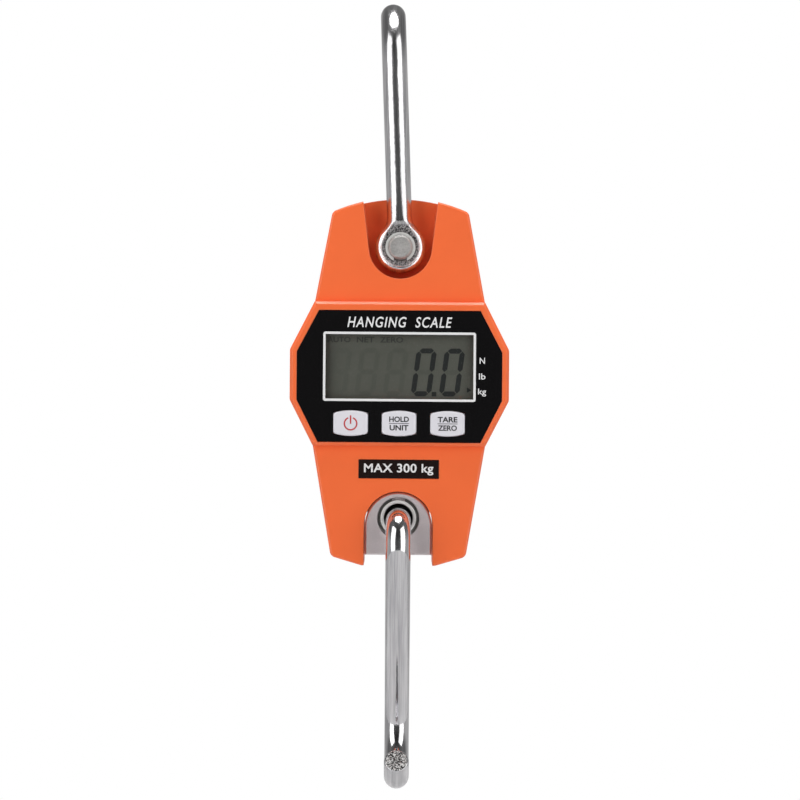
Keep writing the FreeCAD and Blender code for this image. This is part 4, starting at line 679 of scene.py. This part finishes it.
def tube(line, radius, sides=16):
    """Points and faces of a closed tube about (y, z) points."""
    points, faces = [], []
    for index, here in enumerate(line):
        before, after = line[max(index - 1, 0)], line[min(index + 1, len(line) - 1)]
        way = (after - before).normalized()
        for turn in np.linspace(0, 2 * math.pi, sides, endpoint=False):
            side = radius * math.sin(turn)
            points.append((radius * math.cos(turn), here.x - way.y * side, here.y + way.x * side))
    for ring in range(len(line) - 1):
        for side in range(sides):
            after = (side + 1) % sides
            low, high = ring * sides, (ring + 1) * sides
            faces.append((low + side, low + after, high + after, high + side))
    faces.append(tuple(range(sides)))
    faces.append(tuple((len(line) - 1) * sides + side for side in range(sides)))
    return points, faces


upper_line = (line_points(Vector((eye_middle, 4.0)), Vector((eye_middle, neck_straight)))
              + arc_points(bend_centre, neck_bend, 0.0, upper_tilt)
              + line_points(shank_low, shank_high)
              + arc_points(upper_bowl, bowl_line, math.pi + upper_tilt, upper_flare)
              + line_points(tip_start, tip_end))
rough_points, rough_faces = tube(upper_line, bar_radius)
eye_points, eye_faces = tube([Vector((eye_low, 0)), Vector((eye_high, 0))], eye_radius, 48)
shift = len(rough_points)
rough_points += eye_points
rough_faces += [tuple(corner + shift for corner in face) for face in eye_faces]
rough = bpy.data.meshes.new("rough_hook")
rough.from_pydata(rough_points, [], rough_faces)
rough_object = bpy.data.objects.new("rough_hook", rough)
bpy.context.scene.collection.objects.link(rough_object)
remesh = rough_object.modifiers.new("even_squares", "REMESH")
remesh.mode, remesh.voxel_size = "VOXEL", voxel_mm
even = bpy.data.meshes.new_from_object(rough_object.evaluated_get(bpy.context.evaluated_depsgraph_get()))
bpy.data.objects.remove(rough_object)
print("the rough shell has", len(even.vertices), "points")

# %% Pull it onto the hook


def slope(distance, points, step=0.01):
    """How a distance changes along each axis at each point."""
    sides = [distance(points + step * axis) - distance(points - step * axis) for axis in np.eye(3)]
    return np.stack(sides, 1) / (2 * step)


surface = np.array([vertex.co for vertex in even.vertices])
for _ in range(10):
    gradient = slope(upper_hook_distance, surface)
    length = np.maximum((gradient ** 2).sum(1), 0.2)
    surface -= (upper_hook_distance(surface) / length)[:, None] * gradient * 0.9
print("the upper hook has", len(surface), "points, off the formula by at most",
      round(float(np.abs(upper_hook_distance(surface)).max()), 4))

# %% The finished upper hook
flat_margin, flat_fade, skin_top, skin_fade = 0.09, 0.05, 9.0, 2.2
on_flats = np.clip((flat_height(surface) + flat_margin) / flat_fade, 0, 1)
forged = on_flats * np.clip((skin_top - surface[:, 2]) / skin_fade, 0, 1)
leaned = Matrix.Rotation(-hook_lean, 3, "Y")
placed = surface @ np.array(leaned).T + np.array((pin.x, 0, pin.z))


def mark_forged(hook, share):
    """Stores on each point how much forged or sawn skin it has."""
    mark = hook.data.attributes.new("forged", "FLOAT", "POINT")
    mark.data.foreach_set("value", share.astype(np.float32))


upper_hook = make_piece("upper_hook_bar", placed, [tuple(face.vertices) for face in even.polygons],
                        upper_steel, "hanger", smooth_below=60)
mark_forged(upper_hook, forged)
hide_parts("upper_hook")
print("made", upper_hook.name, "with", len(upper_hook.data.polygons), "faces")

# %% [markdown]
# ## The lower hook
# The lower hook is plain bar all the way, so a sweep describes it: a ring of points rides along the centre
# line and turns with it. The ring's radius follows a short list of places, which makes the chamfers and the
# snap ring's groove. Its front end was sawn off and left rough, so that face gets rings of its own, moved
# in and out by a random amount.

# %% Sweep the lower hook
lower_rise = math.radians(32)
lower_bend, bend_start = 7.0, -11.6
beyond_ring, front_length, groove_play = 1.4, 8.5, 0.05
stub_end = span("hook_snap_ring")[1].y + beyond_ring
span_y, span_z = -bend_start, stub.z - lower_bend - lower_bowl.y
lower_tilt = (math.asin((lower_bend + bowl_line) / math.hypot(span_y, span_z))
              + math.atan(span_y / span_z))
bend_middle = Vector((bend_start, stub.z - lower_bend))
shank_top = bend_middle - lower_bend * Vector((math.cos(lower_tilt), math.sin(lower_tilt)))
shank_foot = lower_bowl + bowl_line * Vector((math.cos(lower_tilt), math.sin(lower_tilt)))
front_start = lower_bowl - bowl_line * Vector((math.sin(lower_rise), math.cos(lower_rise)))
front_end = front_start + front_length * Vector((-math.cos(lower_rise), math.sin(lower_rise)))
lower_line = (line_points(Vector((stub_end, stub.z)), Vector((bend_start, stub.z)), 0.1)
              + arc_points(bend_middle, lower_bend, math.pi / 2, math.pi + lower_tilt, 0.3)[1:]
              + line_points(shank_top, shank_foot)[1:]
              + arc_points(lower_bowl, bowl_line, lower_tilt, -math.pi / 2 - lower_rise)[1:]
              + line_points(front_start, front_end, 0.3)[1:])
steps = [0.0] + [(after - before).length for before, after in zip(lower_line, lower_line[1:])]
travelled = np.cumsum(steps)
groove_low = stub_end - span("hook_snap_ring")[1].y - groove_play
groove_high = stub_end - span("hook_snap_ring")[0].y + groove_play
whole = travelled[-1]
radius_places = [0, 0.5, groove_low, groove_low + 0.06, groove_high - 0.06, groove_high, whole - 0.6,
                 whole]
radii = [3.5, 4.0, 4.0, 3.5, 3.5, 4.0, 4.0, 3.62]
print("the lower hook's bar is", round(float(whole)), "mm long, its shank tilts back by",
      round(math.degrees(lower_tilt), 1), "degrees")

# %% Rings of points
sides = 56
turns = np.linspace(0, 2 * math.pi, sides, endpoint=False)
points, faces = [], []


def add_ring(here, way, radius, push=None):
    """Adds a ring of points about the centre line, each pushed along it by its own amount."""
    first = len(points)
    for side, turn in enumerate(turns):
        along = push[side] if push is not None else 0.0
        lift = radius * math.sin(turn)
        points.append((stub.x + radius * math.cos(turn), here.x - way.y * lift + way.x * along,
                       here.y + way.x * lift + way.y * along))
    return first


def join_rings(low, high):
    """Adds the faces between two rings."""
    for side in range(sides):
        after = (side + 1) % sides
        faces.append((low + side, low + after, high + after, high + side))


rings = []
for index, here in enumerate(lower_line):
    before, after = lower_line[max(index - 1, 0)], lower_line[min(index + 1, len(lower_line) - 1)]
    way = (after - before).normalized()
    rings.append(add_ring(here, way, float(np.interp(travelled[index], radius_places, radii))))
for low, high in zip(rings, rings[1:]):
    join_rings(low, high)
faces.append(tuple(range(sides)))
print("the sweep has", len(rings), "rings of", sides, "points")

# %% The sawn end and the finished lower hook
chance = np.random.default_rng(4)
last, sawn_first = rings[-1], len(points)
for radius in np.linspace(3.3, 0.3, 11):
    ring = add_ring(lower_line[-1], way, radius, chance.uniform(-0.14, 0.04, sides))
    join_rings(last, ring)
    last = ring
faces.append(tuple(last + side for side in range(sides)))
lower_hook = make_piece("lower_hook_bar", points, faces, lower_steel, "load_hook")
mark_forged(lower_hook, np.arange(len(points)) >= sawn_first)
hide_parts("lower_hook")
print("made", lower_hook.name, "with", len(faces), "faces")

# %% [markdown]
# ## Printing
# Ink stands a few hundredths of a millimetre proud of the film. Each print is a real, thin mesh: it can't
# flicker against the film, and it stays crisp at any size. Text comes from Blender's built-in typeface,
# fitted to the width and height that the print has on the scale.

# %% Inks


def ink(name, colour, roughness=0.45):
    """Printing ink, a little fainter in fine speckles."""
    paint = new_paint(name)
    speckle = paint.noise(5.0, detail=3)
    fainter = [channel * 0.86 for channel in colour]
    return paint.finish(Base_Color=paint.mix(speckle, fainter, colour), Roughness=roughness + speckle * 0.1,
                        Normal=paint.bump(speckle, 0.006))


white_ink = ink("white_ink", rgb(240, 240, 240))
black_ink = ink("black_ink", rgb(36, 34, 38))
red_ink = ink("red_ink", rgb(196, 52, 56))
print_depth = 0.03
print("the inks stand", print_depth, "mm proud")

# %% Flat shapes and text


def plate(name, outlines, face_y, material, body, slot, depth=print_depth):
    """A thin plate in front of a face, from closed outlines of (x, z) points."""
    work = bmesh.new()
    for outline in outlines:
        corners = [work.verts.new((x * MM, face_y * MM, z * MM)) for x, z in outline]
        work.faces.new(corners)
    made = bmesh.ops.extrude_face_region(work, geom=list(work.faces))
    moved = [part for part in made["geom"] if isinstance(part, bmesh.types.BMVert)]
    bmesh.ops.translate(work, verts=moved, vec=(0, -depth * MM, 0))
    bmesh.ops.recalc_face_normals(work, faces=work.faces)
    # extruding lists the faces in any order, so they are put in the order of their corners
    work.verts.index_update()
    ordered = sorted(work.faces, key=lambda face: sorted(corner.index for corner in face.verts))
    rank = {face: float(index) for index, face in enumerate(ordered)}
    work.faces.sort(key=lambda face: rank[face])
    mesh = bpy.data.meshes.new(name)
    work.to_mesh(mesh)
    work.free()
    return put(name, mesh, material, body)


def lettering(name, text, place, size, face_y, material, body, slot, weight=0.0, slant=0.0,
              spacing=1.0):
    """Text fitted to (width, height), centred on (x, z) and standing on a face."""
    curve = bpy.data.curves.new(name, "FONT")
    curve.body, curve.size, curve.resolution_u = text, 1.0, 6
    curve.space_character, curve.shear, curve.offset, curve.extrude = spacing, slant, weight, 0.5
    source = bpy.data.objects.new(name, curve)
    bpy.context.scene.collection.objects.link(source)
    mesh = bpy.data.meshes.new_from_object(source.evaluated_get(bpy.context.evaluated_depsgraph_get()))
    bpy.data.objects.remove(source)
    corners = np.array([vertex.co for vertex in mesh.vertices])
    low, high = corners.min(0), corners.max(0)
    share = (corners - (low + high) / 2) / (high - low)
    share[:, 2] += 0.5
    placed = np.stack([place[0] + share[:, 0] * size[0], face_y - share[:, 2] * print_depth,
                       place[1] + share[:, 1] * size[1]], 1) * MM
    mesh.vertices.foreach_set("co", placed.ravel())
    mesh.materials.clear()
    return put(name, mesh, material, body)


def ring_of(centre, inner, outer, start, end, steps=40):
    """The outline of part of a flat ring, between two angles in degrees."""
    angles = np.radians(np.linspace(start, end, steps))
    out = [(centre[0] + outer * math.cos(t), centre[1] + outer * math.sin(t)) for t in angles]
    back = [(centre[0] + inner * math.cos(t), centre[1] + inner * math.sin(t)) for t in angles[::-1]]
    return out + back


def box_about(x, z, half_x, half_z):
    """The outline of a rectangle about a point."""
    return [(x - half_x, z - half_z), (x + half_x, z - half_z), (x + half_x, z + half_z),
            (x - half_x, z + half_z)]


print("a quarter of a ring has", len(ring_of((0, 0), 1, 2, 0, 90)), "corners")

# %% [markdown]
# The film carries a title over the display, a white line round the window and the three units beside it.

# %% Print on the black film
film = dict(face_y=overlay_face, material=white_ink, body="scale", slot="overlay_black")
lettering("print_title", "HANGING  SCALE", (centre_x, pin.z - 24.1), (33.4, 3.4), weight=0.012,
          slant=0.22, spacing=1.16, **film)
line_half_x, line_half_z = 23.6, 10.3
line_width = 0.76
line_pieces = []
for x_way, z_way, start in ((1, 1, 0), (-1, 1, 90), (-1, -1, 180), (1, -1, 270)):
    corner = (window_middle.x + x_way * line_half_x, window_middle.z + z_way * line_half_z)
    line_pieces.append(ring_of(corner, 0.0001, line_width, start, start + 90, 12))
for way in (1, -1):
    line_pieces.append(box_about(window_middle.x, window_middle.z + way * (line_half_z + line_width / 2),
                                 line_half_x, line_width / 2))
    line_pieces.append(box_about(window_middle.x + way * (line_half_x + line_width / 2), window_middle.z,
                                 line_width / 2, line_half_z))
plate("print_window_line", line_pieces, overlay_face, white_ink, "scale", "overlay_black")
for name, text, drop, width, height in (("newton", "N", 36.2, 1.7, 1.95), ("pound", "lb", 41.2, 2.1, 1.95),
                                        ("kilogram", "kg", 46.3, 2.6, 2.5)):
    lettering(f"print_{name}", text, (centre_x + 26.4, pin.z - drop), (width, height), weight=0.01, **film)
print("printed a title, three units and a line", line_width, "mm wide")

# %% [markdown]
# The keys carry their legends, and each legend rides on its own key so that it goes down with it.

# %% Print on the keys
key_z = middle("hold_key").z
power_x, hold_x, tare_x = (middle(f"{name}_key").x for name in ("power", "hold", "tare"))
power_ring = ring_of((power_x, key_z - 0.15), 1.75, 2.2, 113, 427)
plate("print_power_symbol", [power_ring, box_about(power_x, key_z + 1.15, 0.22, 1.35)], key_face, red_ink,
      "power_button", "key_grey")
for name, x, upper, lower in (("hold", hold_x, "HOLD", "UNIT"), ("tare", tare_x, "TARE", "ZERO")):
    button = f"{name}_button"
    legend = dict(face_y=key_face, material=black_ink, body=button, slot="key_grey", weight=0.028)
    lettering(f"print_{name}_upper", upper, (x, key_z + 1.35), (6.3, 1.75), **legend)
    lettering(f"print_{name}_lower", lower, (x, key_z - 1.35), (6.0, 1.75), **legend)
    plate(f"print_{name}_rule", [box_about(x, key_z, 3.2, 0.09)], key_face, black_ink, button, "key_grey")
print("printed the keys at z =", round(key_z, 1))

# %% [markdown]
# The label under the keys says how much the scale can carry, in broad white letters.

# %% Print on the capacity label
label = middle("capacity_label")
lettering("print_capacity", "MAX 300 kg", (label.x, label.z - 0.1), (22.2, 3.7), label_face, white_ink,
          "scale", "label_black", weight=0.02, spacing=1.05)
print("printed the label at z =", round(label.z, 1))

# %% [markdown]
# ## The display's segments
# A digit is seven bars with pointed ends and a small gap between them, all leaning the same way. The dark
# ones are switched on. A real display also shows the others faintly, so they are there too, in a colour
# that is only a little darker than the glass.

# %% Segments
digit_width, digit_height, digit_pitch, digit_slant = 6.5, 15.3, 9.0, math.tan(math.radians(7.5))
bar_width, bar_gap = 1.6, 0.16
digit_z = pin.z - 40.0
dark_segment = ink("dark_segment", rgb(20, 25, 24), 0.4)
faint_segment = ink("faint_segment", rgb(80, 82, 74), 0.4)
dim_segment = ink("dim_segment", rgb(50, 52, 48), 0.4)
on_glass = dict(face_y=glass_face, body="scale", slot="display_grey")


def bar_outline(start, end):
    """A six-cornered bar between two points that lie level or one above the other."""
    half = bar_width / 2
    way = (Vector(end) - Vector(start)).normalized()
    side = Vector((-way.y, way.x)) * half
    low, high = Vector(start) + way * bar_gap, Vector(end) - way * bar_gap
    corners = [low, low + way * half + side, high - way * half + side, high,
               high - way * half - side, low + way * half - side]
    return [(corner.x, corner.y) for corner in corners]


def digit(middle_x, lit):
    """The outlines of a digit's segments, from the letters that name them."""
    x, z = digit_width / 2 - bar_width / 2, digit_height / 2 - bar_width / 2
    ends = {"a": ((-x, z), (x, z)), "b": ((x, z), (x, 0)), "c": ((x, 0), (x, -z)), "d": ((x, -z), (-x, -z)),
            "e": ((-x, -z), (-x, 0)), "f": ((-x, 0), (-x, z)), "g": ((-x, 0), (x, 0))}
    outlines = []
    for letter in lit:
        outline = bar_outline(*ends[letter])
        outlines.append([(middle_x + px + pz * digit_slant, digit_z + pz) for px, pz in outline])
    return outlines


print("a digit leans by", round(digit_height * digit_slant, 1), "mm over its height")

# %% The number shown
last_x = centre_x + 16.8
digit_places = [last_x - index * digit_pitch for index in range(5)]
lit = [outline for x in digit_places[:2] for outline in digit(x, "abcdef")]
lit.append(box_about(centre_x + 11.1, digit_z - digit_height / 2 + 0.7, 0.75, 0.7))
plate("display_lit_segments", lit, material=dark_segment, depth=0.02, **on_glass)
unlit = [outline for x in digit_places[:2] for outline in digit(x, "g")]
unlit += [outline for x in digit_places[2:] for outline in digit(x, "abcdefg")]
plate("display_faint_segments", unlit, material=faint_segment, depth=0.015, **on_glass)
print("made", len(lit), "lit and", len(unlit), "faint segments")

# %% The display's small marks
marker_x, marker_z = centre_x + 22.3, pin.z - 45.6
arrow = [(marker_x - 0.7, marker_z - 0.9), (marker_x + 0.7, marker_z), (marker_x - 0.7, marker_z + 0.9)]
plate("display_unit_marker", [arrow], material=dark_segment, depth=0.02, **on_glass)
for name, text, x, width in (("auto", "AUTO", -19.4, 7.4), ("net", "NET", -10.9, 5.6),
                             ("zero", "ZERO", -2.6, 7.4)):
    lettering(f"display_{name}_word", text, (centre_x + x, pin.z - 29.7), (width, 1.8),
              material=dim_segment, weight=0.02, **on_glass)
print("the marker stands at z =", round(marker_z, 1))

# %% [markdown]
# ## The floor
# The scale hangs in a white room, over a pale floor that throws a little light back up at it.

# %% Floor
floor_paint = new_paint("pale_floor")
floor_cloud = floor_paint.noise(0.02, detail=3)
floor_colour = floor_paint.mix(floor_cloud, (0.56, 0.56, 0.57), (0.62, 0.62, 0.62))
floor_skin = floor_paint.finish(Base_Color=floor_colour, Roughness=0.55 + floor_cloud * 0.1)
floor_drop, floor_radius = 64.0, 320.0
floor_z = frame_low.z / MM - floor_drop
rim = [(floor_radius * math.cos(t), floor_radius * math.sin(t), floor_z)
       for t in np.linspace(0, 2 * math.pi, 128, endpoint=False)]
floor_mesh = bpy.data.meshes.new("studio_floor")
floor_mesh.from_pydata([tuple(c * MM for c in point) for point in rim], [], [tuple(range(len(rim)))])
floor_mesh.materials.append(floor_skin)
floor = bpy.data.objects.new("studio_floor", floor_mesh)
bpy.context.scene.collection.objects.link(floor)
print("the floor lies at z =", round(floor_z, 1))

# %% [markdown]
# ## The lights
# Bright steel is only as good as what it mirrors. Two tall soft boxes, one at each side, make the bright
# bands down each bar, and the darker room between them makes the line in the middle. An oval box overhead
# lights the tops of the bends. Two boxes behind lift the case's edges; steel would show them as white
# outlines, so they are hidden from reflections and light only the matt surfaces.

# %% Soft boxes
aim = (frame_low + frame_high) / 2


def soft_box(name, azimuth, elevation, distance, width, height, radiance, shape="RECTANGLE",
             mirrored=True):
    """An area light that faces the scale, in metres; azimuth 0 is in front and 90 to the right."""
    turn, rise = math.radians(azimuth), math.radians(elevation)
    way = Vector((math.sin(turn) * math.cos(rise), -math.cos(turn) * math.cos(rise), math.sin(rise)))
    light = bpy.data.lights.new(name, "AREA")
    light.shape, light.size, light.size_y = shape, width, height
    light.energy = radiance * math.pi * width * height
    lamp = bpy.data.objects.new(name, light)
    lamp.location = aim + way * distance
    lamp.rotation_euler = way.to_track_quat("Z", "Y").to_euler()
    lamp.visible_glossy = mirrored
    bpy.context.scene.collection.objects.link(lamp)
    return lamp


soft_box("left_box", -48, 4, 1.1, 0.85, 1.9, 1.95)
soft_box("right_box", 48, 4, 1.1, 0.85, 1.9, 1.75)
soft_box("top_box", 0, 88, 0.85, 0.68, 0.54, 5.6, shape="ELLIPSE")
soft_box("rear_left_box", -145, 42, 1.4, 1.0, 1.0, 1.5, mirrored=False)
soft_box("rear_right_box", 145, 42, 1.4, 1.0, 1.0, 1.5, mirrored=False)
print("placed", len(bpy.data.lights), "soft boxes")

# %% [markdown]
# ## The room
# The room is darkest in front and dim overhead, which gives the steel something dark to mirror. A path
# that goes straight to the camera sees plain white instead, so the scale stands against white.

# %% The white room
room = bpy.data.worlds.new("white_room")
bpy.context.scene.world = room
room_paint = Paint(room)
way = room_paint.node("ShaderNodeTexCoord", output="Generated")
front_to_back = room_paint.node("ShaderNodeSeparateXYZ", {}, {0: way}, output="Y")
dimmer = room_paint.ramp(front_to_back * 0.5 + 0.5,
                         [(0.0, 0.08), (0.12, 0.12), (0.45, 0.44), (1.0, 0.52)])
upward = room_paint.node("ShaderNodeSeparateXYZ", {}, {0: way}, output="Z")
ceiling = room_paint.ramp(upward * 0.5 + 0.5, [(0.52, 1.0), (0.70, 0.35), (1.0, 0.25)])
seen = room_paint.node("ShaderNodeLightPath", output="Is Camera Ray")
shown = room_paint.mix(seen, dimmer * ceiling, (1.0, 1.0, 1.0))
glow = room_paint.node("ShaderNodeBackground", {}, {"Color": shown, "Strength": 1.0})
room_paint.node("ShaderNodeOutputWorld", {}, {"Surface": glow})
bpy.context.scene.view_settings.view_transform = "Standard"
print("the room's light has", len(room.node_tree.nodes), "nodes")

# %% [markdown]
# ## The camera
# The lens is long and level, as for a product picture, so upright edges stay upright. It is turned by half
# a degree because the scale hangs a little off upright.

# %% Camera
distance, frame_width, aside, below, turned_by = 900.0, 259.2, 0.25, 48.9, math.radians(-0.45)
lens = bpy.data.cameras.new("product_camera")
lens.sensor_width = 36.0
lens.lens = lens.sensor_width * distance / frame_width
lens.clip_start, lens.clip_end = 0.01, 20.0
camera = bpy.data.objects.new("product_camera", lens)
camera.location = Vector((centre_x + aside, -distance, pin.z - below)) * MM
level = Matrix.Rotation(math.radians(90), 4, "X")
roll = Matrix.Rotation(turned_by, 4, "Y")
camera.rotation_euler = (roll @ level).to_euler()
bpy.context.scene.collection.objects.link(camera)
bpy.context.scene.camera = camera
print("the camera stands", distance, "mm in front")

# %% [markdown]
